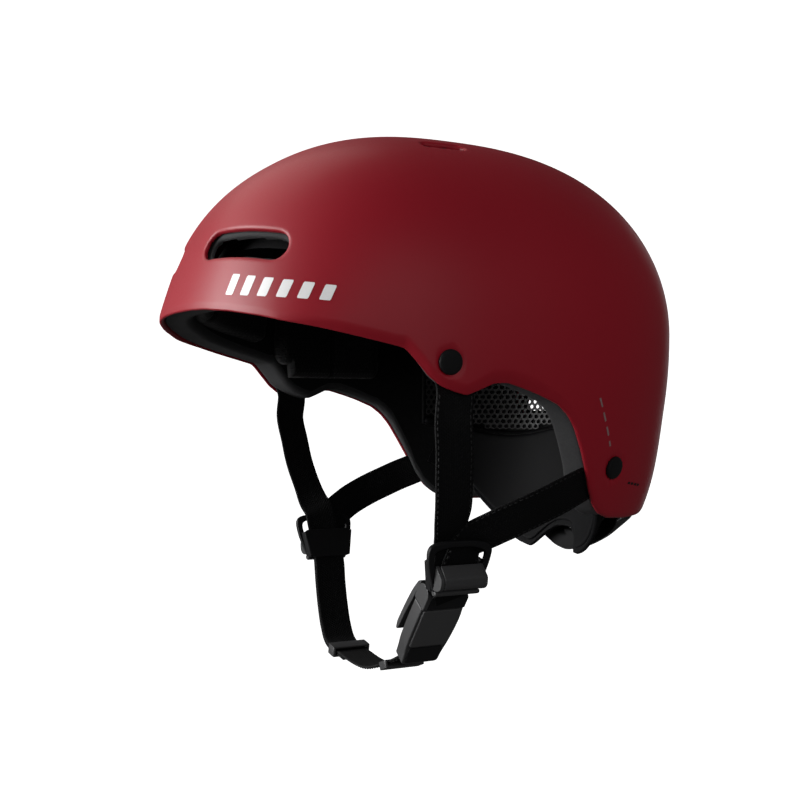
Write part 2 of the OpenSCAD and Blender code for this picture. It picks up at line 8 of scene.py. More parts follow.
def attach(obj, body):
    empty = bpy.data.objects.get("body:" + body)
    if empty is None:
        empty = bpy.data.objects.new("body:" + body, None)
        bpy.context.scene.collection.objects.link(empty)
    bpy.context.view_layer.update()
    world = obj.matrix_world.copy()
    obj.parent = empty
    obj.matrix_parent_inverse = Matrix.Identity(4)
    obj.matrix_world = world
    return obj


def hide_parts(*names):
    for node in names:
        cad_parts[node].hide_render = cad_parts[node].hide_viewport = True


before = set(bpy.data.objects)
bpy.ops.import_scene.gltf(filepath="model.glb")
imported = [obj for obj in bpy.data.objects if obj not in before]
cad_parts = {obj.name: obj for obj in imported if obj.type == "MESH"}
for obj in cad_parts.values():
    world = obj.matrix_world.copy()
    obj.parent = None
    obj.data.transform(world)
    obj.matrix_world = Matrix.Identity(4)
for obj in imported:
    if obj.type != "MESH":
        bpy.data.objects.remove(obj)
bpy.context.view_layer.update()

MM = 0.001

# ---------- Camera and lights ----------
CAMERA_AT, CAMERA_AZIMUTH, CAMERA_ELEVATION = (0.5578, -0.29706, -0.04343), 62.5, -0.66
az, el = math.radians(CAMERA_AZIMUTH), math.radians(CAMERA_ELEVATION)
back = Vector((math.sin(az) * math.cos(el), -math.cos(az) * math.cos(el), math.sin(el)))
right = Vector((math.cos(az), math.sin(az), 0))
cam_data = bpy.data.cameras.new("camera")
cam_data.lens = 51.2
cam_data.sensor_width = 36
cam_data.clip_start, cam_data.clip_end = 0.01, 50
cam = bpy.data.objects.new("camera", cam_data)
scene = bpy.context.scene
scene.collection.objects.link(cam)
turned = Matrix((right, back.cross(right), back)).transposed().to_4x4()
turned.translation = CAMERA_AT
cam.matrix_world = turned
scene.camera = cam
scene.view_settings.view_transform = "Standard"

world = bpy.data.worlds.new("studio")
scene.world = world
world.use_nodes = True
world.node_tree.nodes["Background"].inputs["Color"].default_value = (1, 1, 1, 1)
world.node_tree.nodes["Background"].inputs["Strength"].default_value = 0.055

# Each: name, place, what it faces, size, watts, colour, whether glossy surfaces show it
LIGHTS = [
    ("key", (-0.45, -1.5, 0.30), (0, -0.05, 0.0), (1.3, 1.3), 42, (1, 1, 1), True),
    ("crown_soft", (-0.95, -0.35, 1.25), (0, -0.03, 0.05), (1.3, 1.3), 4, (1, 0.97, 0.9), True),
    ("crown_fill", (-0.5, -0.9, 1.3), (0, -0.03, 0.05), (1.2, 1.2), 7, (1, 1, 1), False),
    ("side_fill", (1.5, -0.1, 0.35), (0, 0, 0), (1.2, 1.2), 10, (1, 1, 1), False),
    ("low_fill", (-0.5, -1.3, -0.75), (0, -0.08, 0), (1.0, 1.0), 5.5, (1, 1, 1), False),
    ("back_fill", (-0.9, 1.5, 0.7), (0, 0.05, 0), (1.2, 1.2), 9, (1, 1, 1), False),
    ("rim", (-0.75, 1.3, 0.1), (0, 0.05, 0), (0.3, 1.0), 0.6, (1, 1, 1), True),
]
for name, at, to, size, watts, colour, glossy in LIGHTS:
    data = bpy.data.lights.new(name, "AREA")
    data.shape = "RECTANGLE"
    data.size, data.size_y = size
    data.energy = watts
    data.color = colour
    light = bpy.data.objects.new(name, data)
    scene.collection.objects.link(light)
    light.location = at
    light.rotation_mode = "QUATERNION"
    light.rotation_quaternion = (Vector(to) - Vector(at)).to_track_quat("-Z", "Y")
    light.visible_glossy = glossy


# ---------- Materials ----------
WIDE_GRAIN = 14
ROOT3 = 1.732


def tree_math(t, op, *values):
    """Adds a maths node; each value is a number or another node's output."""
    n = t.nodes.new("ShaderNodeMath")
    n.operation = op
    for socket, v in zip(n.inputs, values):
        if isinstance(v, (int, float)):
            socket.default_value = v
        else:
            t.links.new(v, socket)
    return n.outputs[0]


def add_bump(t, height, strength, depth):
    b = t.nodes.new("ShaderNodeBump")
    b.inputs["Strength"].default_value = strength
    b.inputs["Distance"].default_value = depth * MM
    t.links.new(height, b.inputs["Height"])
    return b


def node_material(name, colour, rough, vary, grain, bump, depth, coat=0, sheen=0, metallic=0, specular=0.5):
    """Moulded, painted or woven surface whose colour, roughness and height vary by noise."""
    m = bpy.data.materials.new(name)
    m.use_nodes = True
    t = m.node_tree
    shader = t.nodes["Principled BSDF"]
    for socket, value in (("Metallic", metallic), ("Specular IOR Level", specular), ("Coat Weight", coat),
                          ("Coat Roughness", 0.25), ("Sheen Weight", sheen), ("Sheen Roughness", 0.6)):
        shader.inputs[socket].default_value = value
    where = t.nodes.new("ShaderNodeTexCoord")
    fine, wide = t.nodes.new("ShaderNodeTexNoise"), t.nodes.new("ShaderNodeTexNoise")
    fine.inputs["Scale"].default_value = grain
    fine.inputs["Detail"].default_value = 3
    wide.inputs["Scale"].default_value = WIDE_GRAIN
    for noise in (fine, wide):
        t.links.new(where.outputs["Object"], noise.inputs["Vector"])
    tones = t.nodes.new("ShaderNodeValToRGB")
    for end, at, share in zip(tones.color_ramp.elements, (0.3, 0.7), (1 - vary, 1 + vary)):
        end.position = at
        end.color = tuple(min(1, c * share) for c in colour) + (1,)
    half_wide = tree_math(t, "MULTIPLY", wide.outputs["Fac"], 0.5)
    mix = tree_math(t, "MULTIPLY_ADD", fine.outputs["Fac"], 0.5, half_wide)
    t.links.new(mix, tones.inputs["Fac"])
    t.links.new(tones.outputs["Color"], shader.inputs["Base Color"])
    rough_map = t.nodes.new("ShaderNodeMapRange")
    rough_map.inputs["To Min"].default_value = max(0.03, rough - 0.07)
    rough_map.inputs["To Max"].default_value = min(1, rough + 0.07)
    t.links.new(fine.outputs["Fac"], rough_map.inputs["Value"])
    t.links.new(rough_map.outputs["Result"], shader.inputs["Roughness"])
    t.links.new(add_bump(t, fine.outputs["Fac"], bump, depth).outputs["Normal"], shader.inputs["Normal"])
    return m


def uv_axes(t):
    uv = t.nodes.new("ShaderNodeUVMap")
    uv.uv_map = "cloth"
    parts = t.nodes.new("ShaderNodeSeparateXYZ")
    t.links.new(uv.outputs["UV"], parts.inputs[0])
    return parts.outputs["X"], parts.outputs["Y"]


def wave(t, value, pitch):
    return tree_math(t, "SINE", tree_math(t, "MULTIPLY", value, 2 * math.pi / pitch))


def add_height(m, height, strength, depth, dark=None):
    """Puts a pattern into a material's bump, and into its colour if dark is given."""
    t = m.node_tree
    shader = t.nodes["Principled BSDF"]
    b = add_bump(t, height, strength, depth)
    t.links.new(shader.inputs["Normal"].links[0].from_socket, b.inputs["Normal"])
    t.links.new(b.outputs["Normal"], shader.inputs["Normal"])
    if dark is not None:
        mix = t.nodes.new("ShaderNodeMix")
        mix.data_type = "RGBA"
        t.links.new(height, mix.inputs["Factor"])
        t.links.new(shader.inputs["Base Color"].links[0].from_socket, mix.inputs["B"])
        mix.inputs["A"].default_value = tuple(dark) + (1,)
        t.links.new(mix.outputs["Result"], shader.inputs["Base Color"])


def webbing_material(name, colour):
    """Flat weave with slanting ribs that meet in the middle, and yarns along its length."""
    m = node_material(name, colour, 0.75, 0.35, 900, 0.3, 0.1, specular=0.25)
    t = m.node_tree
    u, v = uv_axes(t)
    side = tree_math(t, "ABSOLUTE", u)
    diagonal = tree_math(t, "ADD", tree_math(t, "MULTIPLY", side, 0.8), v)
    ribs = tree_math(t, "MULTIPLY_ADD", wave(t, diagonal, 1.6), 0.5, 0.5)
    yarns = tree_math(t, "MULTIPLY_ADD", wave(t, u, 1.15), 0.25, 0.5)
    add_height(m, tree_math(t, "MULTIPLY", ribs, yarns), 0.8, 0.35)
    return m


def dotted_material(name, colour, dark, pitch, radius):
    """Cloth with staggered rows of holes, laid out on the piece's own millimetre coordinates."""
    m = node_material(name, colour, 0.8, 0.25, 800, 0.3, 0.1, sheen=0.06, specular=0.2)
    t = m.node_tree
    axes = uv_axes(t)

    def spots(shift):
        """Distance from the nearest hole of one half of the rows."""
        x, y = (tree_math(t, "SUBTRACT", tree_math(t, "FRACT", tree_math(
            t, "ADD", tree_math(t, "DIVIDE", along, size), shift)), 0.5)
            for along, size in zip(axes, (pitch, pitch * ROOT3)))
        y = tree_math(t, "MULTIPLY", y, ROOT3)
        return tree_math(t, "SQRT", tree_math(t, "ADD", tree_math(t, "MULTIPLY", x, x),
                                              tree_math(t, "MULTIPLY", y, y)))
    near = tree_math(t, "MINIMUM", spots(0.0), spots(0.5))
    step = t.nodes.new("ShaderNodeMapRange")
    step.interpolation_type = "SMOOTHSTEP"
    step.inputs["From Min"].default_value = radius - 0.08
    step.inputs["From Max"].default_value = radius + 0.08
    t.links.new(near, step.inputs["Value"])
    add_height(m, step.outputs["Result"], 0.9, 0.6, dark)
    return m


# Each: name, colour, roughness, how much colour varies, grain, bump and its depth, and what else is set
LOOKS = [
    ("paint", (0.235, 0.0050, 0.0130), 0.46, 0.05, 900, 0.05, 0.05, dict(coat=0.08, specular=0.45)),
    # The two foams are a lit and a shaded copy of one foam: the paler is painted light, used on the liner's
    # rim and vent edges, and the darker is painted shade on the liner's inner face
    ("foam", (0.028, 0.028, 0.029), 0.85, 0.25, 700, 0.5, 0.25, dict(specular=0.3)),
    ("foam_inside", (0.0075, 0.0075, 0.008), 0.9, 0.3, 600, 0.5, 0.3, dict(specular=0.2)),
    ("black", (0.005, 0.005, 0.0055), 0.45, 0.2, 1200, 0.2, 0.05, dict(specular=0.3)),
    ("satin", (0.013, 0.013, 0.0135), 0.38, 0.2, 1200, 0.2, 0.05, {}),
    ("grey", (0.032, 0.032, 0.033), 0.45, 0.2, 1200, 0.25, 0.06, {}),
    ("cover", (0.046, 0.046, 0.047), 0.5, 0.15, 1200, 0.25, 0.06, {}),
    ("gear", (0.55, 0.55, 0.52), 0.4, 0.06, 500, 0.15, 0.1, {}),
    ("steel", (0.55, 0.55, 0.56), 0.28, 0.08, 500, 0.1, 0.1, dict(metallic=1)),
    ("magnet", (0.7, 0.7, 0.72), 0.15, 0.04, 500, 0.05, 0.1, dict(metallic=1)),
    ("thread", (0.008, 0.008, 0.0085), 0.8, 0.3, 2500, 0.4, 0.1, {}),
    ("mesh", (0.022, 0.022, 0.022), 0.5, 0.3, 1500, 0.4, 0.1, {}),
    ("nape", (0.0045, 0.0045, 0.005), 0.7, 0.2, 900, 0.3, 0.1, dict(specular=0.15)),
    ("mark", (0.72, 0.72, 0.72), 0.45, 0.03, 900, 0.05, 0.1, {}),
    ("side_mark", (0.20, 0.12, 0.12), 0.45, 0.05, 500, 0.05, 0.1, {}),
    ("floor", (0.86, 0.86, 0.86), 0.9, 0.01, 20, 0.0, 0.1, {}),
]
M = {name: node_material(name, *look, **more) for name, *look, more in LOOKS}
M["web"] = webbing_material("web", (0.0028, 0.0028, 0.0030))
M["pad"] = dotted_material("pad", (0.005, 0.005, 0.0053), (0.0025, 0.0025, 0.0025), 2.4, 0.16)


# ---------- The dome, as the frame has it ----------
HALF_W, FRONT_L, REAR_L, CROWN_H, SKIRT_H, FLARE = 108.0, 132.5, 145.5, 104.0, 176.0, 3.5
PROFILE, PLAN_N = 0.8, 2 / 0.78
# How far the brow's lip stands forward, which the frame leaves out
BROW_FLARE = 3.6
# The rim's height at each angle round from the brow
RIM = [(0, 6.4), (8, 6.2), (16, 5.4), (24, 3.4), (32, 0.3), (40, -4), (50, -9.3), (60.5, -14.7),
       (63, -20.5), (66, -27.5), (69, -31.6), (72.6, -34.2), (76, -36), (79.4, -33.8), (84, -30.5),
       (88, -30.2), (94, -33.3), (99, -36.3), (104, -39.7), (107.3, -44.4), (110, -50.5), (113, -60.2),
       (116.4, -71.8), (119.2, -82.1), (122.5, -90.1), (126, -95.1), (130, -97.8), (137, -98.8),
       (145, -98.6), (153, -97.6), (161, -95), (168, -91), (174, -87.6), (180, -86)]


def smooth_line(points, width):
    """Height against angle from control points, rounded over width degrees, for both halves."""
    step = 0.1
    x = np.arange(-60, 240 + step, step)
    full = [(-a, z) for a, z in points[::-1] if a > 0] + list(points)
    full += [(360 - a, z) for a, z in points[::-1] if a < 180]
    y = np.interp(x, [p[0] for p in full], [p[1] for p in full])
    k = np.exp(-0.5 * (np.arange(-4 * width, 4 * width + step, step) / width) ** 2)
    y = np.convolve(y, k / k.sum(), mode="same")

    def at(a):
        a = np.mod(np.asarray(a, float), 360)
        return np.interp(np.where(a > 180, 360 - a, a), x, y)
    return at


rim_z = smooth_line(RIM, 0.5)


def ramp(x, low, high):
    t = np.clip((x - low) / (high - low), 0, 1)
    return t * t * (3 - 2 * t)


def dome(a, e, i):
    """Point of the dome at angle a round from the brow, elevation e, and inset i."""
    a, e, i = np.broadcast_arrays(np.asarray(a, float), np.asarray(e, float), np.asarray(i, float))
    s, c = np.sin(np.radians(a)), np.cos(np.radians(a))
    length = np.where(c > 0, FRONT_L, REAR_L) - i
    plan = ((np.abs(s) / (HALF_W - i)) ** PLAN_N + (np.abs(c) / length) ** PLAN_N) ** (-1 / PLAN_N)
    z = np.where(e > 0, CROWN_H - i, SKIRT_H) * np.sin(np.radians(e))
    round_a = 180 - np.abs(180 - np.mod(a, 360))
    r = plan * np.maximum(np.cos(np.radians(e)), 0) ** PROFILE
    r = r + FLARE * ramp(-z, 40, 98) * ramp(round_a, 122, 148)
    r = r + BROW_FLARE * np.clip((33 - z) / 29, 0, 1.2) ** 1.9 * (1 - ramp(round_a, 34, 62))
    return np.stack([r * s, -r * c, z], -1)


def elev(z, i):
    """Elevation at which the dome with inset i has height z."""
    z, i = np.broadcast_arrays(np.asarray(z, float), np.asarray(i, float))
    h = np.where(z > 0, CROWN_H - i, SKIRT_H)
    return np.degrees(np.arcsin(np.clip(z / h, -1, 1)))


def on_dome(a, z, i=0.0):
    return dome(a, elev(z, i), i)


def under(a, z, i):
    """Point with inset i under the dome's outside point of height z."""
    return dome(a, elev(z, 0), i)


def unit(v):
    v = np.asarray(v, float)
    return v / np.maximum(np.linalg.norm(v, axis=-1, keepdims=True), 1e-12)


def out_dir(a, z):
    """Outward direction of the dome."""
    e = elev(z, 0)
    across = dome(np.asarray(a) + 0.5, e, 0) - dome(np.asarray(a) - 0.5, e, 0)
    rise = dome(a, e + 0.5, 0) - dome(a, e - 0.5, 0)
    return unit(np.cross(across, rise))


def frame_at(a, z, turn=0.0, shift=(0, 0)):
    """Place on the dome with its right, up and outward directions."""
    n = out_dir(a, z)
    r = unit(np.cross([0, 0, 1], n))
    u = np.cross(n, r)
    t = math.radians(turn)
    r, u = r * math.cos(t) + u * math.sin(t), u * math.cos(t) - r * math.sin(t)
    return on_dome(a, z) + shift[0] * r + shift[1] * u, r, u, n


def both_sides(p, r, u, n):
    """A place with its directions, then its mirror image."""
    for side in (1, -1):
        flip = np.array([side, 1, 1])
        yield p * flip, r * flip, u * flip, n * flip


def add_object(name, points, faces, material, uv=None, smooth=True, body="helmet", replaces=()):
    """A piece from points in millimetres; uv lays a pattern out on its points."""
    mesh = bpy.data.meshes.new(name)
    mesh.from_pydata([tuple(p) for p in np.asarray(points) * MM], [], faces)
    if uv is not None:
        layer = mesh.uv_layers.new(name="cloth")
        index = np.zeros(len(mesh.loops), int)
        mesh.loops.foreach_get("vertex_index", index)
        layer.data.foreach_set("uv", np.asarray(uv, float)[index].ravel())
    mesh.materials.append(M[material])
    mesh.polygons.foreach_set("use_smooth", [smooth] * len(mesh.polygons))
    mesh.update()
    return finish_piece(name, mesh, body, replaces)


def finish_piece(name, mesh, body, replaces):
    o = bpy.data.objects.new(name, mesh)
    scene.collection.objects.link(o)
    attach(o, body)
    if replaces:
        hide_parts(*replaces)
    return o


def tidy_mesh(mesh, merge=0.02, flat=0, normals=False):
    """Merges points closer than merge millimetres, joins faces within flat degrees, drops unused points."""
    b = bmesh.new()
    b.from_mesh(mesh)
    if merge:
        bmesh.ops.remove_doubles(b, verts=b.verts, dist=merge * MM)
    if flat:
        bmesh.ops.dissolve_limit(b, angle_limit=math.radians(flat), verts=b.verts, edges=b.edges)
    loose = [v for v in b.verts if not v.link_faces]
    bmesh.ops.delete(b, geom=loose, context="VERTS")
    if normals:
        bmesh.ops.recalc_face_normals(b, faces=b.faces)
    b.to_mesh(mesh)
    b.free()


def round_edges(o, width, segments, angle):
    bevel = o.modifiers.new("round", "BEVEL")
    bevel.width = width * MM
    bevel.segments = segments
    bevel.limit_method = "ANGLE"
    bevel.angle_limit = math.radians(angle)
    bevel.use_clamp_overlap = True
    bevel.harden_normals = True


def grid_faces(rows, cols, wrap, flip=False):
    """Four-sided faces between the points of a grid; wrap joins its last column to its first."""
    j, k = np.meshgrid(np.arange(rows - 1), np.arange(cols if wrap else cols - 1), indexing="ij")
    k2 = (k + 1) % cols
    a, b, c, d = j * cols + k, j * cols + k2, (j + 1) * cols + k2, (j + 1) * cols + k
    return np.stack([a, b, c, d] if not flip else [a, d, c, b], -1).reshape(-1, 4)


# ---------- Vents ----------
# Each: angle, height, turn, shift, length, width
VENTS = [(25.5, 35.9, -7, (-6.5, 0.5), 57, 14.6), (78, 92, 0, (0, 0), 24, 8), (161, -38, 0, (0, 0), 46, 11)]
# Reach of a vent through the wall, and the half width under which its middle is dropped
VENT_REACH, VENT_CORE = 22, 1.6
# The strap rivets' angle and height
ANCHORS = [(71.5, -20.0), (126.0, -71.4)]


def slots(grow):
    """Each vent's place, directions, half of its straight run and its end radius."""
    for a, z, turn, shift, length, width in VENTS:
        for place in both_sides(*frame_at(a, z, turn, shift)):
            yield *place, (length - width) / 2, width / 2 + grow


def in_slots(points, grow, low, high):
    """Mask of the points inside a slot's outline, between two depths."""
    inside = np.zeros(len(points), bool)
    for p, r, u, n, half, rad in slots(grow):
        q = points - p
        over = np.maximum(np.abs(q @ r) - half, 0)
        inside |= (np.hypot(over, q @ u) < rad) & (q @ n > low) & (q @ n < high)
    return inside


def cut_slots(points, grow, fillet, depth):
    """Rolls a skin's points into each slot's wall; gives the points and a mask of those to drop."""
    drop = np.zeros(len(points), bool)
    out = points.copy()
    for p, r, u, n, half, rad in slots(grow):
        q = points - p
        x, y, h = q @ r, q @ u, q @ n
        over = np.sign(x) * np.maximum(np.abs(x) - half, 0)
        d = np.hypot(over, y)
        sel = (d < rad + fillet) & (np.abs(h) < VENT_REACH)
        away = np.stack([over, y], -1) / np.maximum(d, 1e-6)[:, None]
        s = d - rad
        turn = np.clip((fillet - s) / fillet, 0, math.pi / 2)
        lat = fillet * (1 - np.sin(turn))
        deep = fillet * (1 - np.cos(turn)) + np.maximum(fillet - s - fillet * math.pi / 2, 0)
        move = (lat - s)[:, None] * (away[:, :1] * r + away[:, 1:] * u) - deep[:, None] * n
        out[sel] = points[sel] + move[sel]
        drop |= sel & ((deep > depth) | (d < VENT_CORE))
    return out, drop


def dimples(points, radius, depth):
    """Presses a shallow seat into the shell under each rivet."""
    for anchor in ANCHORS:
        for p, r, u, n in both_sides(*frame_at(*anchor)):
            d = np.linalg.norm(points - p, axis=-1)
            points = points - (depth * (1 - ramp(d, radius, radius + 1.0)))[:, None] * n
    return points


def slope_cos(a, line):
    """Cosine of the rim's slope along the dome, which keeps its rounding even."""
    a = np.asarray(a, float)
    lo, hi = on_dome(a - 0.5, line(a - 0.5)), on_dome(a + 0.5, line(a + 0.5))
    d = hi - lo
    flat = np.hypot(d[..., 0], d[..., 1])
    return np.clip(flat / np.maximum(np.linalg.norm(d, axis=-1), 1e-6), 0.35, 1)


# The rounded edge above the rim: its width and how far it goes in, by angle
BEVEL_AT = [0, 36, 44, 66, 71, 77, 84, 98, 104, 112, 122, 180]
BEVEL_W = [2.6, 2.8, 4.6, 4.8, 4.0, 4.4, 6.2, 6.0, 3.4, 2.2, 1.8, 1.8]
BEVEL_IN = [0.5, 0.6, 1.8, 1.8, 1.2, 1.4, 2.0, 1.8, 0.8, 0.3, 0.25, 0.25]
SHELL_T = 3.0


def shell_rows(a, body_rows):
    """Outer skin, rounded rim and the start of the inner face, from crown to inside."""
    R = SHELL_T / 2
    cosine = slope_cos(a, rim_z)
    round_a = 180 - np.abs(180 - np.mod(a, 360))
    bw = np.interp(round_a, BEVEL_AT, BEVEL_W)
    bi = np.interp(round_a, BEVEL_AT, BEVEL_IN)
    z0 = rim_z(a)

    def bevel(z):
        d = (z - z0) * cosine - R
        return bi * np.clip(1 - d / bw, 0, 1) ** 1.5
    rows = []
    e0 = elev(z0 + (R + bw * 1.15) / cosine, 0)
    for s in np.linspace(1, 0, body_rows):
        e = e0 + (90 - e0) * s ** 1.06
        z = np.where(e > 0, CROWN_H, SKIRT_H) * np.sin(np.radians(e))
        rows.append(dome(a, e, bevel(z)))
    for s in (0.85, 0.7, 0.55, 0.4, 0.25, 0.12, 0):
        z = z0 + (R + bw * 1.15 * s) / cosine
        rows.append(under(a, z, bevel(z)))
    edge_i = bevel(z0 + R / cosine)
    r2 = (SHELL_T - edge_i) / 2
    for phi in np.radians(np.arange(20, 181, 20)):
        i = edge_i + r2 - r2 * math.cos(phi)
        z = z0 + (R - r2 * math.sin(phi)) / cosine
        rows.append(under(a, z, i))
    for s in (3, 8, 16, 26):
        rows.append(under(a, z0 + (R + s) / cosine, SHELL_T))
    return np.stack(rows)


shell_cols, shell_body = ((720, 150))
rows = shell_rows(np.arange(shell_cols) * 360 / shell_cols, shell_body)
pts, drop = cut_slots(dimples(rows.reshape(-1, 3), 6.3, 0.9), 0.0, 1.5, 3.4)
quads = grid_faces(rows.shape[0], shell_cols, True, flip=True)
quads = quads[~drop[quads].any(1)]
shell = add_object("shell_outer_skin", pts, quads.tolist(), "paint", replaces=("outer_shell",))
tidy_mesh(shell.data)

# ---------- Liner ----------
# Insets of the liner's two faces, and how far its rim sits above the shell's
LIN_OUT, LIN_IN, LIN_LIFT = 3.3, 17.3, 1.6


def liner_rows(a, body_rows):
    """The liner's outer edge, its rim and its inner face, from outside to crown."""
    cosine = slope_cos(a, rim_z)
    z0 = rim_z(a) + LIN_LIFT / cosine
    R = 3.2
    rows = []
    for d in (30, 18, 9, 4):
        rows.append(under(a, z0 + d / cosine, LIN_OUT))
    for phi in np.radians((0, 30, 60, 90)):
        rows.append(under(a, z0 + (1.2 - 1.2 * math.sin(phi)) / cosine, LIN_OUT + 1.2 - 1.2 * math.cos(phi)))
    for i in (7.5, 10.5, 13):
        rows.append(under(a, z0, i))
    for phi in np.radians((90, 70, 50, 30, 10, 0)):
        rows.append(under(a, z0 + (R - R * math.sin(phi)) / cosine, LIN_IN - R + R * math.cos(phi)))
    e0 = elev(z0 + (R + 1) / cosine, LIN_IN)
    for s in np.linspace(0, 1, body_rows):
        rows.append(dome(a, e0 + (90 - e0) * s, LIN_IN))
    return np.stack(rows)


liner_cols = 480
la = np.arange(liner_cols) * 360 / liner_cols
rows = liner_rows(la, 60)
pts = rows.reshape(-1, 3)
quads = grid_faces(rows.shape[0], liner_cols, True, flip=True)
hole = in_slots(pts, -1.6, -30, 8)
quads = quads[~hole[quads].any(1)]
liner = add_object("foam_liner_inside", pts, quads.tolist(), "foam_inside",
                   replaces=("foam_liner",))
liner.data.materials.append(M["foam"])
# The rim's rows are paler than the inner face: the paler foam is painted light on the rim, and the darker copy
# is painted shade on the inner face
PAINTED_LIGHT_ROWS = 17
liner.data.polygons.foreach_set("material_index", (quads[:, 0] // liner_cols < PAINTED_LIGHT_ROWS).astype(int).tolist())
tidy_mesh(liner.data)

# The liner's edge inside each vent
face_e = np.linspace(-36, 89, 130)
rows = np.stack([dome(la, e, LIN_OUT) for e in face_e[::-1]])
pts, drop = cut_slots(rows.reshape(-1, 3), -1.8, 1.0, 12)
near = in_slots(rows.reshape(-1, 3), 4.0, -15, 15)
quads = grid_faces(rows.shape[0], liner_cols, True, flip=True)
quads = quads[(~drop[quads].any(1)) & near[quads].all(1)]
vent_edges = add_object("foam_vent_edges", pts, quads.tolist(), "foam")
tidy_mesh(vent_edges.data)


# ---------- Pads on the liner ----------
# Radius at which lengths round the dome are measured
MID_R = 110.0


def pad_patch(name, a0, a1, low, high, inset, thick, material, node, edge=7.0, quilts=(),
              cols=110, rows=60, power=2.6):
    """Crowned closed pad on the dome's inside, between two angles and two height lines."""
    S, T = np.meshgrid(np.linspace(0, 1, cols), np.linspace(0, 1, rows))
    A = a0 + (a1 - a0) * S
    wide = abs(a1 - a0) * math.pi / 180 * MID_R
    # Rounded corners: squircle mapping pulls the corners in
    cs, ct = 2 * S - 1, 2 * T - 1
    k = edge / max(wide / 2, edge)
    tall = np.maximum(high(A) - low(A), 1)
    kt = edge / np.maximum(tall / 2, edge)
    corner = np.clip((np.abs(cs) - (1 - k)) / k, 0, 1), np.clip((np.abs(ct) - (1 - kt)) / kt, 0, 1)
    pull = np.maximum(np.hypot(*corner), 1e-9)
    big = np.maximum(*corner)
    f = np.where(pull > 1e-6, big / pull, 1)
    cs2 = np.where(corner[0] > 0, np.sign(cs) * ((1 - k) + k * corner[0] * f), cs)
    ct2 = np.where(corner[1] > 0, np.sign(ct) * ((1 - kt) + kt * corner[1] * f), ct)
    A2 = a0 + (a1 - a0) * (cs2 + 1) / 2
    lo2, hi2 = low(A2), high(A2)
    Z = lo2 + (hi2 - lo2) * (ct2 + 1) / 2
    edge_d = 1 - big
    body_h = thick * np.clip(1 - (1 - edge_d) ** power, 0, 1) ** (1 / 1.6)
    for q in quilts:
        body_h = body_h * (1 - 0.45 * np.exp(-((S - q) * wide / 1.6) ** 2))
    inner = under(A2, Z, inset + body_h)
    outer = under(A2, Z, inset)
    points = np.concatenate([inner.reshape(-1, 3), outer.reshape(-1, 3)])
    front, back = grid_faces(rows, cols, False, flip=True), grid_faces(rows, cols, False) + rows * cols
    uv = np.stack([A2 * math.pi / 180 * MID_R, Z], -1).reshape(-1, 2)
    o = add_object(name, points, front.tolist() + back.tolist(), material, np.concatenate([uv, uv]),
                   replaces=(node,))
    tidy_mesh(o.data, 0.05)


def flat_line(v):
    return lambda a: np.full_like(np.asarray(a, float), v)


# Inset of the pads' backs
PAD = 18.4
pad_patch("brow_cushion", -56, 56, lambda a: 12 - 14 * (a / 54) ** 2, flat_line(36), PAD, 6.2, "pad",
          "brow_pad", quilts=(0.25, 0.5, 0.75))
for side, sign in (("left", 1), ("right", -1)):
    pad_patch(side + "_side_cushion", sign * 61, sign * 105, lambda a: -22 + 8 * (np.abs(a) < 66),
              flat_line(34), PAD, 6.2, "pad", side + "_side_pad", quilts=(0.5,))


def mesh_low(a):
    """Height of the mesh panel's lower edge, which dips in two lobes."""
    return -46 - 9 * np.cos(np.radians((np.abs(np.asarray(a) - 180) - 28) * 3.2)) ** 2


def on_arc(u, v, inset):
    """Point of the dome at u millimetres round from the rear, height v."""
    a = 180 + np.asarray(u, float) / MID_R * 180 / math.pi
    return under(a, v, inset)


def honeycomb(name, pitch, hole, thick):
    """Spacer mesh: one open hexagonal cell after another, front, back and cell walls."""
    points, faces = [], []
    six, twelve = np.radians(np.arange(30, 390, 60)), np.radians(np.arange(0, 360, 30))
    row = 0
    v = -58.0
    while v < -7.5:
        u = -108.0 + (pitch / 2 if row % 2 else 0)
        while u < 108:
            a = 180 + u / MID_R * 180 / math.pi
            if float(mesh_low(a)) + 1.2 < v and abs(a - 180) < 56.5:
                base = len(points)
                R = pitch / math.sqrt(3)
                cell_u = np.concatenate([u + R * np.cos(six), u + hole * np.cos(twelve)])
                cell_v = np.concatenate([v + R * np.sin(six), v + hole * np.sin(twelve)])
                points.extend(on_arc(cell_u, cell_v, PAD + thick))
                points.extend(on_arc(cell_u[6:], cell_v[6:], PAD + thick * 0.45))
                points.extend(on_arc(cell_u, cell_v, PAD + 0.2))
                for k in range(6):
                    i0 = 6 + (2 * k + 1) % 12
                    i1, i2 = 6 + (2 * k + 2) % 12, 6 + (2 * k + 3) % 12
                    j0, j1 = k, (k + 1) % 6
                    faces += [[base + j for j in f] for f in ((j0, i0, i1), (j0, i1, j1), (j1, i1, i2))]
                for k in range(12):
                    after = (k + 1) % 12
                    faces.append([base + j for j in (6 + k, 18 + k, 18 + after, 6 + after)])
            u += pitch
        v += pitch * 0.866
        row += 1
    o = add_object(name, points, faces, "mesh", replaces=("rear_mesh_pad",), smooth=False)
    tidy_mesh(o.data)


honeycomb("rear_mesh_panel", 3.6, 1.28, 2.4)


def tube(name, path, outs, radius, material, ring=10):
    """Round-cornered bar along a path, with an end face at each end."""
    n = len(path)
    t = unit(np.gradient(path, axis=0))
    o = unit(outs - (outs * t).sum(1, keepdims=True) * t)
    w = np.cross(o, t)
    g = np.linspace(0, 2 * math.pi, ring, endpoint=False)
    sx = np.sign(np.cos(g)) * np.abs(np.cos(g)) ** 0.7
    sy = np.sign(np.sin(g)) * np.abs(np.sin(g)) ** 0.7
    points = path[:, None] + radius * (w[:, None] * sx[None, :, None] + o[:, None] * sy[None, :, None])
    faces = grid_faces(n, ring, True).tolist()
    faces += [list(range(ring))[::-1], [(n - 1) * ring + j for j in range(ring)]]
    bar = add_object(name, points.reshape(-1, 3), faces, material)
    tidy_mesh(bar.data, 0, normals=True)


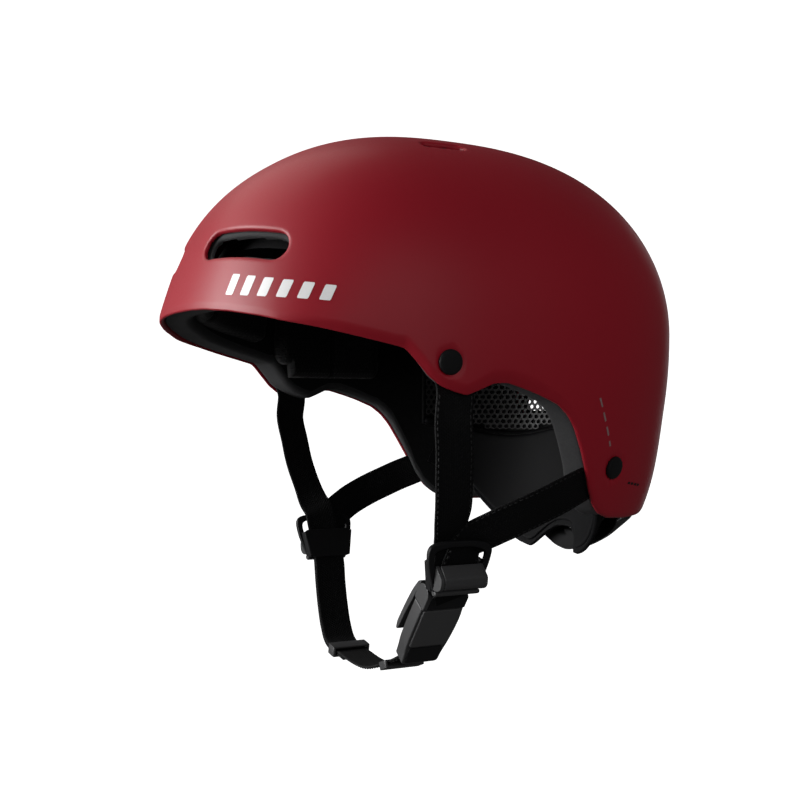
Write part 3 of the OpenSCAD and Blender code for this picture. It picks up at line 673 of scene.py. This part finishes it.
edge_a = np.concatenate([np.full(30, 123.0), np.linspace(123, 237, 160), np.full(30, 237.0)])
edge_z = np.concatenate([np.linspace(-50, -6.5, 30), np.full(160, -6.0), np.linspace(-6.5, -50, 30)])
tube("mesh_binding", under(edge_a, edge_z, PAD + 1.3), out_dir(edge_a, edge_z), 1.3, "nape")
pad_patch("mesh_edge_roll", 123, 237, lambda a: mesh_low(a) - 5.4, lambda a: mesh_low(a) + 0.4, PAD, 5.0,
          "nape", "mesh_rib", edge=3.0, power=2.0, cols=160, rows=24)

# Crown pad: a soft disc with spokes sewn in
n_a, n_r = 96, 30
aa = np.linspace(0, 360, n_a, endpoint=False)
rr = np.linspace(0, 1, n_r)
A, R2 = np.meshgrid(aa, rr)
h = 6.0 * np.clip(1 - R2 ** 4, 0, 1) ** 0.6
h *= 1 - 0.4 * np.exp(-(np.abs((A + 30) % 60 - 30) / 2.2) ** 2) * (R2 > 0.25)
h *= 1 - 0.5 * np.exp(-((R2 - 0.25) / 0.05) ** 2)
E = 90 - (90 - elev(76, PAD)) * R2
pts = np.concatenate([dome(A, E, PAD + h).reshape(-1, 3), dome(A, E, PAD).reshape(-1, 3)])
f = grid_faces(n_r, n_a, True)
uv = np.stack([R2 * 50 * np.cos(np.radians(A)), R2 * 50 * np.sin(np.radians(A))], -1).reshape(-1, 2)
crown = add_object("crown_cushion", pts, f.tolist() + (f[:, ::-1] + n_a * n_r).tolist(), "pad",
                   uv=np.concatenate([uv, uv]), replaces=("crown_pad",))
tidy_mesh(crown.data, 0.05)

# ---------- Nape cradle and pad ----------
CRADLE = [(128, -70), (134, -80), (141, -92), (146, -101.5), (152, -111), (157, -119), (161.5, -122.8),
          (166.8, -125), (172.3, -115), (176, -111.2), (180, -110.8)]
cradle_low = smooth_line([(0, -84)] + CRADLE, 1.0)
pad_patch("nape_cradle_panel", 140.5, 219.5, cradle_low, flat_line(-60), 20.6, 3.4, "nape", "nape_cradle",
          edge=4, power=12, cols=160, rows=80)
pad_patch("nape_cushion", 133, 227, lambda a: cradle_low(a) + 3.2, lambda a: mesh_low(a) - 2.2, 22.6, 3.6,
          "nape", "nape_pad", edge=8, cols=150, rows=80, power=9)

# Moulded rear cover round the dial, carried on under the shell's rim
COVER = [(148.5, -101.5), (152, -106), (156, -109.5), (161, -113.5), (167, -118.5), (173, -123), (180, -125)]
COVER_FROM, COVER_TO, COVER_IN = 148.5, 211.5, 11.5
cover_low = smooth_line([(0, -101.5)] + COVER, 1.6)
dial_p, dial_r_dir, dial_u, dial_n = frame_at(180, -105)
# The housing's straight half and end radius with their clearance, and radii round the knob: the hole in
# the cover, where the inner face stays low, and where the skin starts to turn in
POCKET_HALF, POCKET_R = 13.5, 12.2
KNOB_HOLE, KNOB_LOW, KNOB_TURN = 15.4, 17, 17.6
cols_n, rows_n = 220, 64
A, T = np.meshgrid(np.linspace(COVER_FROM, COVER_TO, cols_n), np.linspace(0, 1, rows_n))
low = cover_low(A)
high = -100 + 12 * ramp(180 - np.abs(180 - A), 148, 180)
Z = low + (np.maximum(high, low + 1) - low) * T
ins = 4 + 5 * (1 - T) ** 2.2
skin = under(A, Z, ins)
q = skin - dial_p
rad = np.hypot(q @ dial_r_dir, q @ dial_u)
# Over the dial's housing the inner face is lifted, so the racks slide free under the cover. Under the
# knob's edge it stays low and closes the gap round the housing
over = np.hypot(np.maximum(np.abs(q @ dial_r_dir) - POCKET_HALF, 0), q @ dial_u)
lift = np.clip((POCKET_R + 4 - over) / 3, 0, 1)
lift[(over > POCKET_R) & (rad < KNOB_LOW)] = 0
inner = under(A, Z, COVER_IN + (np.minimum(ins + 1.1, COVER_IN) - COVER_IN) * lift)
# The skin turns in round the knob
near_dial = np.clip((KNOB_TURN - rad) / 2.2, 0, 1)[..., None]
skin = skin - near_dial ** 2 * 1.6 * dial_n
n = rows_n * cols_n
f = grid_faces(rows_n, cols_n, False)
gone = rad < KNOB_HOLE
open_in = gone & (over < POCKET_R)
f_out, f_in = f[~gone.reshape(-1)[f].all(1)], f[~open_in.reshape(-1)[f].all(1)]
# Walls between the two faces, along the grid's four sides
grid = np.arange(n).reshape(rows_n, cols_n)
border = []
for line in (grid[:, 0], grid[:, -1][::-1], grid[0][::-1], grid[-1]):
    border += [[k, after, after + n, k + n] for k, after in zip(line[:-1].tolist(), line[1:].tolist())]
cover = add_object("nape_cover", np.concatenate([skin.reshape(-1, 3), inner.reshape(-1, 3)]),
                   f_out.tolist() + (f_in[:, ::-1] + n).tolist() + border, "satin",
                   replaces=("nape_housing",))
tidy_mesh(cover.data)


# ---------- Webbing ----------
def spline(points, per=10):
    """Catmull-Rom through points, evenly parametrised by chord length."""
    p = np.asarray(points, float)
    ext = np.vstack([2 * p[0] - p[1], p, 2 * p[-1] - p[-2]])
    out = []
    for k in range(1, len(ext) - 2):
        p0, p1, p2, p3 = ext[k - 1:k + 3]
        d = [max(np.linalg.norm(b - a), 1e-6) ** 0.5 for a, b in ((p0, p1), (p1, p2), (p2, p3))]
        t0, t1 = 0, d[0]
        t2, t3 = t1 + d[1], t1 + d[1] + d[2]
        for t in np.linspace(t1, t2, per, endpoint=False):
            def mix(p, q, a, b):
                return (b - t) / (b - a) * p + (t - a) / (b - a) * q
            early, middle, late = mix(p0, p1, t0, t1), mix(p1, p2, t1, t2), mix(p2, p3, t2, t3)
            out.append(mix(mix(early, middle, t0, t2), mix(middle, late, t1, t3), t1, t2))
    out.append(p[-1])
    return np.array(out)


WEB_W, WEB_T, LAYER = 19.0, 1.4, 0.8


def ribbon(route, outs, off, per=10):
    """Middle line, width and outward directions of a strap; off may run from one value to another."""
    route = np.asarray(route, float)
    line = spline(np.hstack([route, unit(outs)]), per)
    p, o = line[:, :3], unit(line[:, 3:])
    t = unit(np.gradient(p, axis=0))
    o = unit(o - (o * t).sum(1, keepdims=True) * t)
    w = np.cross(o, t)
    if isinstance(off, tuple):
        off = (off[0] + (off[1] - off[0]) * ramp(np.arange(len(p)) / per, 4, 7.5))[:, None]
    return p + off * o, w, o, t


def webbing(name, runs, node):
    """Strap with a rounded edge and a raised selvedge, one mesh for all its runs."""
    u = np.array([-1, -0.985, -0.94, -0.88, -0.8, -0.4, 0, 0.4, 0.8, 0.88, 0.94, 0.985, 1])
    lift = np.array([0, 0.62, 0.92, 1, 0.9, 0.93, 0.95, 0.93, 0.9, 1, 0.92, 0.62, 0])
    section = np.concatenate([np.stack([u, lift], 1), np.stack([u[::-1][1:-1], -lift[::-1][1:-1]], 1)])
    section *= np.array([WEB_W, WEB_T]) / 2
    m = len(section)
    points, faces, uvs = [], [], []
    for route, outs, off in runs:
        p, w, o, t = ribbon(route, outs, off)
        base = len(points)
        v = np.concatenate([[0], np.cumsum(np.linalg.norm(np.diff(p, axis=0), axis=1))])
        for k in range(len(p)):
            points.extend(p[k] + w[k] * across + o[k] * out for across, out in section)
            uvs.extend((across, v[k]) for across, out in section)
        faces += (grid_faces(len(p), m, True) + base).tolist()
        faces.append([base + j for j in range(m)][::-1])
        faces.append([base + (len(p) - 1) * m + j for j in range(m)])
    strap = add_object(name, points, faces, "web", uv=uvs, replaces=(node,))
    tidy_mesh(strap.data, 0, normals=True)


# Place and tilt of splitter and buckle, and how far behind the splitter its straps run
SPLIT_AT, SPLIT_TILT, SPLIT_N = np.array([80, -16.8, -118.8]), math.radians(13.7), -3.0
BUCKLE_AT, BUCKLE_TILT = np.array([62, -16.8, -138.3]), math.radians(37.6)


def tilted(at, tilt, v, n):
    """Point v along a strap that leans by tilt through at, and n outward from it."""
    s, c = math.sin(tilt), math.cos(tilt)
    return at + v * np.array([s, 0, c]) + n * np.array([c, 0, -s])


def in_splitter(v):
    return tilted(SPLIT_AT, SPLIT_TILT, v, SPLIT_N)


def in_buckle(v):
    return tilted(BUCKLE_AT, BUCKLE_TILT, v, 0.0)


def mirrored(points):
    return np.asarray(points, float) * np.array([-1, 1, 1])


# Insets of the straps where they pass between shell and liner
FRONT_IN, REAR_IN = 5.6, 4.2
split_out = np.array([math.cos(SPLIT_TILT), 0, -math.sin(SPLIT_TILT)])
buckle_out = np.array([math.cos(BUCKLE_TILT), 0, -math.sin(BUCKLE_TILT)])
front_top = [on_dome(69.6, -9, FRONT_IN), on_dome(71.5, -20, FRONT_IN), on_dome(73.2, -32, FRONT_IN),
             (100.2, -31, -46), (97.6, -29, -60), (94.3, -27.2, -74), (89.4, -24.4, -88), (84.9, -22.6, -97),
             in_splitter(15) - (0, 3.6, 0), in_splitter(7) - (0, 2.6, 0), in_splitter(-14)]
front_out = out_dir(*ANCHORS[0])
front_outs = [front_out] * 3 + [(0.96, -0.15, -0.2)] * 4 + [split_out] * 4
rear_top = [on_dome(128.8, -66.5, REAR_IN), on_dome(126, -71.4, REAR_IN), on_dome(121.2, -77.6, REAR_IN),
            (93, 40, -83.3), (93.2, 30, -87.2), (92.4, 20, -91), (90, 10, -95), (85.8, 0, -99.5),
            in_splitter(12) + (-0.6, 5.5, 0), in_splitter(4) + (0, 2.6, 0), in_splitter(-4)]
rear_out = out_dir(*ANCHORS[1])
rear_outs = [rear_out] * 3 + [(0.98, 0.05, -0.2)] * 3 + [(0.95, -0.15, -0.24)] * 2 + [split_out] * 3
# The two layers change places on their way to the splitter
UP_DOWN, DOWN_UP = (LAYER, -LAYER), (-LAYER, LAYER)
chin_xz = [(-71.2, -146), (-68, -158.5), (-63.5, -170), (-57, -178), (-33, -182.6), (-18, -184), (-5, -183.4),
           (9, -179.8), (33, -170.8), (40, -167)]
chin = [np.array([x, -16.8, z]) for x, z in chin_xz]


def chin_outs(points):
    t = unit(np.gradient(np.asarray(points, float), axis=0))
    return np.cross([0, 1, 0], t)


buckle_end = [in_buckle(12.2), in_buckle(4.5)]
webbing("left_front_webbing", [(front_top + buckle_end, front_outs + [buckle_out, buckle_out], UP_DOWN)],
        "left_front_strap")
link = [in_splitter(-3.5), in_splitter(-14)] + buckle_end
link_outs = [split_out, split_out, buckle_out, buckle_out]
webbing("left_rear_webbing", [(rear_top, rear_outs, DOWN_UP), (link, link_outs, LAYER)], "left_rear_strap")
right_front, right_front_outs = list(mirrored(front_top)), list(mirrored(front_outs))
right_rear, right_rear_outs = mirrored(rear_top), mirrored(rear_outs)
right_route = right_front + chin + [in_buckle(-29.5)]
right_outs = right_front_outs[:9] + list(chin_outs(right_route))[9:]
webbing("right_front_webbing", [(right_route, right_outs, UP_DOWN)], "right_front_strap")
tail = [mirrored(in_splitter(-3.5)), mirrored(in_splitter(-14))] + chin[:5]
webbing("right_rear_webbing", [(right_rear, right_rear_outs, DOWN_UP), (tail, chin_outs(tail), LAYER)],
        "right_rear_strap")


# ---------- Stitching ----------
STITCH_L, STITCH_GAP, THREAD_R, THREAD_RING = 1.9, 1.1, 0.34, 6
# Along one stitch: share of its length, rise and fatness
STITCH_FORM = ((0, 0.0, 0.35), (0.2, 0.75, 0.9), (0.5, 1, 1), (0.8, 0.75, 0.9), (1, 0.0, 0.35))


def stitches(name, lines):
    """Short raised stitches along lines of points with their outward directions."""
    points, faces = [], []
    rings = grid_faces(len(STITCH_FORM), THREAD_RING, True)
    last = (len(STITCH_FORM) - 1) * THREAD_RING
    for path, outs in lines:
        path, outs = np.asarray(path, float), unit(outs)
        d = np.concatenate([[0], np.cumsum(np.linalg.norm(np.diff(path, axis=0), axis=1))])
        s = 0.5
        while s + STITCH_L < d[-1]:
            start, end = (np.array([np.interp(x, d, axis) for axis in path.T]) for x in (s, s + STITCH_L))
            o = unit([np.interp(s + STITCH_L / 2, d, axis) for axis in outs.T])
            w = np.cross(o, unit(end - start))
            base = len(points)
            for share, rise, fat in STITCH_FORM:
                c = start * (1 - share) + end * share + o * rise * THREAD_R * 0.5
                for k in range(THREAD_RING):
                    g = 2 * math.pi * k / THREAD_RING
                    points.append(c + (w * math.cos(g) + o * math.sin(g)) * THREAD_R * fat)
            faces += (rings + base).tolist()
            faces.append([base + k for k in range(THREAD_RING)][::-1])
            faces.append([base + last + k for k in range(THREAD_RING)])
            s += STITCH_L + STITCH_GAP
    add_object(name, points, faces, "thread")


def strap_lines(route, outs, off, start, stop):
    """A line along each edge of a strap's outer face, between two shares of its length."""
    p, w, o, t = ribbon(route, outs, off)
    keep = slice(int(start * len(p)), max(int(stop * len(p)), int(start * len(p)) + 3))
    return [(p[keep] + w[keep] * WEB_W / 2 * s + o[keep] * WEB_T / 2, o[keep]) for s in (-0.86, 0.86)]


stitch_lines = []
for route, outs, off, start, stop in (
        (front_top, front_outs, UP_DOWN, 0.22, 0.8), (rear_top, rear_outs, DOWN_UP, 0.2, 0.97),
        (right_front, right_front_outs, UP_DOWN, 0.22, 0.8), (right_rear, right_rear_outs, DOWN_UP, 0.2, 0.97),
        (right_route, right_outs, UP_DOWN, 0.55, 0.93)):
    stitch_lines += strap_lines(route, outs, off, start, stop)
stitches("webbing_stitches", stitch_lines)

brow_a = np.linspace(-52, 52, 160)
brow_z = 14.5 - 14 * (brow_a / 54) ** 2
brow_line = under(brow_a, brow_z, PAD + 4.4)
stitches("brow_stitches", [(brow_line, -out_dir(brow_a, brow_z))])


# ---------- Rivets ----------
def lathe(name, profile, places, material, node, seg=48):
    """Turned shape, from radius and height pairs, at each place."""
    points, faces = [], []
    rings = grid_faces(len(profile), seg, True)
    for p, r, u, n in places:
        faces += (rings + len(points)).tolist()
        for rad, h in profile:
            for k in range(seg):
                g = 2 * math.pi * k / seg
                points.append(p + (r * math.cos(g) + u * math.sin(g)) * rad + n * h)
    o = add_object(name, points, faces, material, replaces=(node,))
    tidy_mesh(o.data, 0.01, normals=True)


places = [place for anchor in ANCHORS for place in both_sides(*frame_at(*anchor))]
RIVET = [(0, 1.16), (2.4, 1.14), (3.8, 1.08), (4.9, 0.92), (5.5, 0.68), (5.85, 0.25), (6.0, -0.3),
         (5.95, -0.8), (2.4, -0.85), (2.35, -6.9), (1.6, -7.6), (0, -7.6)]
lathe("rivet_heads", RIVET, places, "black", "strap_rivets")


# ---------- Hardware from the frame's own shapes ----------
def refined(node, name, material, body, width):
    """A copy of a hardware node with its edges rounded, standing for the node."""
    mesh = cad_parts[node].data.copy()
    tidy_mesh(mesh, 0.005, flat=4, normals=True)
    mesh.materials.clear()
    mesh.materials.append(M[material])
    mesh.polygons.foreach_set("use_smooth", [True] * len(mesh.polygons))
    mesh.polygons.foreach_set("material_index", [0] * len(mesh.polygons))
    round_edges(finish_piece(name, mesh, body, (node,)), width, 3, 28)


def local_place(at, tilt, mirror=False):
    """Function that takes points from a splitter's or buckle's own axes to the helmet's."""
    s, c = math.sin(tilt), math.cos(tilt)
    axes = np.array([[0, 1, 0], [s, 0, c], [c, 0, -s]], float)

    def place(points):
        q = np.asarray(at) + np.asarray(points, float) @ axes
        return mirrored(q) if mirror else q
    return place


def rounded_outline(corners, radius, per=7):
    """Closed outline through corners, each rounded; radius may be one number or one per corner."""
    c = np.asarray(corners, float)
    n = len(c)
    rad = [radius] * n if isinstance(radius, (int, float)) else radius
    out = []
    for k in range(n):
        p, before, after = c[k], c[k - 1], c[(k + 1) % n]
        reach = min(rad[k], np.linalg.norm(before - p) * 0.48, np.linalg.norm(after - p) * 0.48)
        start, end = p + unit(before - p) * reach, p + unit(after - p) * reach
        for t in np.linspace(0, 1, per):
            out.append((1 - t) ** 2 * start + 2 * t * (1 - t) * p + t * t * end)
    return np.array(out)


def prism(name, outline, plane, lo, hi, place, material, body="helmet", replaces=(),
          bevel=0.6, segments=3, hole=()):
    """Closed outline drawn across xy or yz and carried through from lo to hi, its edges rounded."""
    n = len(outline)

    def lift(uv, h):
        h = np.full((len(uv), 1), float(h))
        return np.hstack([uv, h] if plane == "xy" else [h, uv])
    points = np.concatenate([lift(outline, lo), lift(outline, hi)])
    faces = [[k, (k + 1) % n, (k + 1) % n + n, k + n] for k in range(n)]
    if len(hole):
        m = len(hole)
        points = np.concatenate([points, lift(hole, lo), lift(hole, hi)])
        faces += [[2 * n + k, 2 * n + m + k, 2 * n + m + (k + 1) % m, 2 * n + (k + 1) % m] for k in range(m)]
        for k in range(n):
            after = (k + 1) % n
            faces.append([k, 2 * n + k, 2 * n + after, after])
            faces.append([n + k, n + after, 2 * n + m + after, 2 * n + m + k])
    else:
        faces += [list(range(n))[::-1], [k + n for k in range(n)]]
    o = add_object(name, place(points), faces, material, body=body, replaces=replaces)
    tidy_mesh(o.data, 0.002, normals=True)
    round_edges(o, bevel, segments, 40)


# Splitter: outlines with one corner radius each, across for the frame and from the side for the rest
FRAME_OUT = [(-18.2, 12.6), (-8, 14.4), (8, 14.4), (18.4, 12.0), (17.2, 2.0), (13.4, -9), (12, -12.6),
             (-12, -12.6), (-13.4, -9), (-17.2, 2.0)]
FRAME_R = [5.5, 6, 6, 6.5, 8, 3, 2.5, 2.5, 3, 8]
FRAME_IN = [(-14.6, 9.4), (-7, 11.2), (7, 11.2), (14.8, 8.6), (13.6, 2.0), (10.4, -5.4), (9.4, -8.6),
            (-9.4, -8.6), (-10.4, -5.4), (-13.6, 2.0)]
FRAME_IN_R = [3.2, 5, 5, 3.6, 5, 2, 1.4, 1.4, 2, 5]
outer, inner = rounded_outline(FRAME_OUT, FRAME_R), rounded_outline(FRAME_IN, FRAME_IN_R)
ear = rounded_outline([(2.6, 0.8), (-2.2, 8.0), (-6.4, 8.4), (-8.6, 6.6), (-9.8, 3.7), (-9.8, 0.8)],
                      [0.8, 1.2, 1.6, 1.6, 1.4, 0.8])
wall = rounded_outline([(15.6, 3.0), (13.6, 3.0), (11.2, -12.2), (12.8, -12.2)], 0.7)
back_plate = rounded_outline([(-15.4, 4), (15.4, 4), (13.8, -6), (11.8, -12.6), (-11.8, -12.6), (-13.8, -6)],
                             [3, 3, 6, 2.2, 2.2, 6])
lip = rounded_outline([(-10.3, -1.2), (-10.3, 2.8), (-12.2, 3.3), (-13.6, 1.0), (-12.8, -1.2)], 1.1)
cam_side = rounded_outline([(3.0, 2.1), (-2.0, 8.4), (-6.6, 8.8), (-8.4, 6.4), (-9.1, 3.7), (-8.4, 2.1)],
                           [0.8, 1.0, 1.6, 1.6, 1.4, 1.0])
pin = [(-7 + math.cos(g), 3.7 + math.sin(g)) for g in np.linspace(0, 2 * math.pi, 24, endpoint=False)]
seam = spline([(3.4, 22.5, -1.3), (-1.0, 17.2, -1.3), (-3.7, 11, -1.3), (-5.3, 3.5, -1.3)], 8)
for side, flip in (("left", False), ("right", True)):
    place = local_place(SPLIT_AT, SPLIT_TILT, flip)
    prism(side + "_splitter_frame", outer, "xy", -1.4, 1.4, place, "black", replaces=(side + "_splitter",),
          bevel=0.75, hole=inner)
    for sx, tag in ((-1, "a"), (1, "b")):
        prism(side + "_splitter_ear_" + tag, ear, "yz", sx * 12.1 - 1.0, sx * 12.1 + 1.0, place, "grey")
        prism(side + "_splitter_wall_" + tag, wall * np.array([sx, 1]), "xy", -6.3, -1.2, place, "black",
              bevel=0.35)
    prism(side + "_splitter_back_plate", back_plate, "xy", -6.4, -5.3, place, "black", bevel=0.4)
    prism(side + "_splitter_lip", lip, "yz", -12.6, 12.6, place, "grey", bevel=0.9)
    prism(side + "_lock_cam", cam_side, "yz", -10.9, 10.9, place, "grey", side + "_lever",
          replaces=(side + "_lock_lever",), bevel=0.8)
    prism(side + "_lock_pin", pin, "yz", -12.9, 12.9, place, "steel", replaces=("lock_pins",),
          bevel=0.2)
    out = mirrored(split_out) if flip else split_out
    stitches(side + "_join_stitches", [(place(seam), np.tile(out, (len(seam), 1)))])

# Buckle, from its head down
place = local_place(BUCKLE_AT, BUCKLE_TILT)
head = rounded_outline([(0.25, 4.5), (9.5, 4.5), (12.2, 1.5), (12.2, -3.5), (8.5, -6.2), (0.25, -6.2)],
                       [0.6, 3.5, 3, 3.5, 3, 0.6])
prism("buckle_tongue_body", head, "yz", -11.6, 11.6, place, "grey", replaces=("buckle_tongue",), bevel=2.2,
      segments=5)
# The black plate on the head's outer face and the grey of its sides are a shaded and a lit copy of one
# plastic: painted shade on the face, painted light on the sides
face = rounded_outline([(-9.4, 0.6), (12.0, 0.6), (12.0, 8.5), (9.5, 11.2), (-9.0, 11.2)],
                       [0.5, 0.5, 2, 2.5, 3])
prism("buckle_head_shaded_face", face, "xy", 3.4, 4.9, place, "black")
flap = rounded_outline([(10.6, -5.6), (9.2, -8.2), (2, -10.2), (-10, -11.6), (-24, -12.4), (-28, -11.2),
                        (-27.4, -9.6), (-14, -8.6), (-4, -7.3), (3, -6.5)],
                       [1.2, 3, 6, 8, 3, 1.6, 1.2, 6, 6, 2])
prism("buckle_pull_flap", flap, "yz", -11.2, 11.2, place, "grey", "pull_tab",
      ("buckle_pull_tab",), bevel=0.9)
sock = rounded_outline([(-11.6, 0), (12.6, 0), (13.5, -7), (13.4, -17), (12.4, -27), (11.2, -34),
                        (11.0, -40.5), (-10.2, -40.5), (-10.6, -34), (-11.6, -27), (-11.8, -14)],
                       [0.8, 0.8, 4, 6, 6, 3, 2.5, 2.5, 3, 6, 6])
prism("buckle_socket_body", sock, "xy", -5.0, 3.3, place, "grey", replaces=("buckle_socket",), bevel=1.3)
panel = rounded_outline([(-10.2, -1.0), (11.0, -1.0), (11.7, -9), (11.6, -18), (10.8, -26.6), (-10.2, -26.6)],
                        [0.8, 0.8, 3, 4, 1.6, 1.6])
prism("buckle_cover_plate", panel, "xy", 2.6, 4.35, place, "cover",
      replaces=("buckle_cover",), bevel=0.5)
foot = rounded_outline([(-9.4, -28.2), (10.2, -28.2), (9.8, -39.2), (-9.0, -39.2)], 2.0)
prism("buckle_foot_pad", foot, "xy", 2.4, 3.9, place, "black", bevel=0.5)
for k in range(4):
    top, bottom = -20.6 - 1.7 * k, -21.4 - 1.7 * k
    bar = rounded_outline([(-9, top), (9, top), (9, bottom), (-9, bottom)], 0.3)
    prism("pull_flap_grip_%d" % k, bar, "xy", -12.75, -11.6, place, "grey", "pull_tab",
          bevel=0.2)
for node, name, material, body, width in (
        ("chin_keeper", "chin_keeper_loop", "grey", "chin_loop", 0.5),
        ("buckle_keeper", "buckle_keeper_loop", "grey", "buckle_loop", 0.5),
        ("dial_knob", "dial_knob_grip", "satin", "dial", 0.6),
        ("dial_housing", "dial_housing_body", "black", "helmet", 0.5),
        ("dial_back_plate", "dial_back_cover", "black", "helmet", 0.4)):
    refined(node, name, material, body, width)


# ---------- Generic marks on the shell ----------
BAR_PROUD = 0.12


def bars(name, centre, specs, material, slant=0.22):
    """Plain slanted bars laid on the shell; each is offset, width, height and rise."""
    p0, r, u, _ = centre
    points, faces = [], []
    res_u, res_v = 7, 13
    one_bar = grid_faces(res_v, res_u, False)
    for x0, w, h, y0 in specs:
        faces += (one_bar + len(points)).tolist()
        for fy in np.linspace(-0.5, 0.5, res_v):
            for fx in np.linspace(-0.5, 0.5, res_u):
                # The top and bottom rows are shorter, which takes off the corners
                corner = 1 - 0.14 * (abs(2 * fy) > 0.95)
                q = p0 + r * (x0 + fx * w * corner + fy * h * slant) + u * (y0 + fy * h)
                points.append(on_dome(math.degrees(math.atan2(q[0], -q[1])), q[2], -BAR_PROUD))
    add_object(name, points, faces, material)


brow_mark = frame_at(math.degrees(math.atan2(74.4, 108.4)), 13.4, turn=-6)
stripes = [(10 * k - 25, 5.2, 10.5 - 0.6 * k, 0.3 - 0.1 * k) for k in range(6)]
bars("front_stripe_mark", brow_mark, stripes, "mark")
side_mark = frame_at(math.degrees(math.atan2(100.6, -57.0)), -48, turn=-65)
bars("side_dash_mark", side_mark, [(-11, 5, 1.2, 0), (-3, 5, 1.2, 0), (5, 5, 1.2, 0), (12, 3, 1.2, 0)],
     "side_mark", slant=0.0)
rear_mark = frame_at(135.5, -80.5, turn=-8)
bars("rear_dash_mark", rear_mark, [(3.4 * k - 5, 2.4, 1.3, 0) for k in range(4)], "black", slant=0.2)

# ---------- Carried-over nodes ----------
CARRIED = {"left_fit_band": "black", "right_fit_band": "black", "dial_pinion": "gear", "dial_screw": "steel",
           "left_rack": "black", "right_rack": "black", "rivet_washers": "steel",
           "tab_pin": "steel", "buckle_magnets": "magnet"}
for name, material in CARRIED.items():
    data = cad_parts[name].data
    for k in range(len(data.materials)):
        data.materials[k] = M[material]
    if not data.materials:
        data.materials.append(M[material])

# ---------- Stage ----------
# A closed round room whose inside glows evenly, so that the background is plain from every side
shader = M["floor"].node_tree.nodes["Principled BSDF"]
shader.inputs["Emission Color"].default_value = (1, 1, 1, 1)
shader.inputs["Emission Strength"].default_value = 1.0
# Distance and heights of the centres of the wall's two bends, each 1 m in radius
BEND_AT, LOW_BEND, HIGH_BEND, ROOM_SIDES = 2.6, -0.3, 3.0, 64
bend = np.radians(np.arange(0, 91, 10))
prof = [(0.0, LOW_BEND - 1)] + [(BEND_AT + math.sin(g), LOW_BEND - math.cos(g)) for g in bend]
prof += [(BEND_AT + math.cos(g), HIGH_BEND + math.sin(g)) for g in bend] + [(0.0, HIGH_BEND + 1)]
verts = [(d * math.cos(g), d * math.sin(g), z) for d, z in prof
         for g in np.linspace(0, 2 * math.pi, ROOM_SIDES, endpoint=False)]
mesh = bpy.data.meshes.new("sweep")
mesh.from_pydata(verts, [], grid_faces(len(prof), ROOM_SIDES, True).tolist())
mesh.materials.append(M["floor"])
mesh.polygons.foreach_set("use_smooth", [True] * len(mesh.polygons))
sweep = bpy.data.objects.new("sweep", mesh)
scene.collection.objects.link(sweep)
sweep.visible_diffuse = False
sweep.visible_glossy = False
sweep.visible_shadow = False
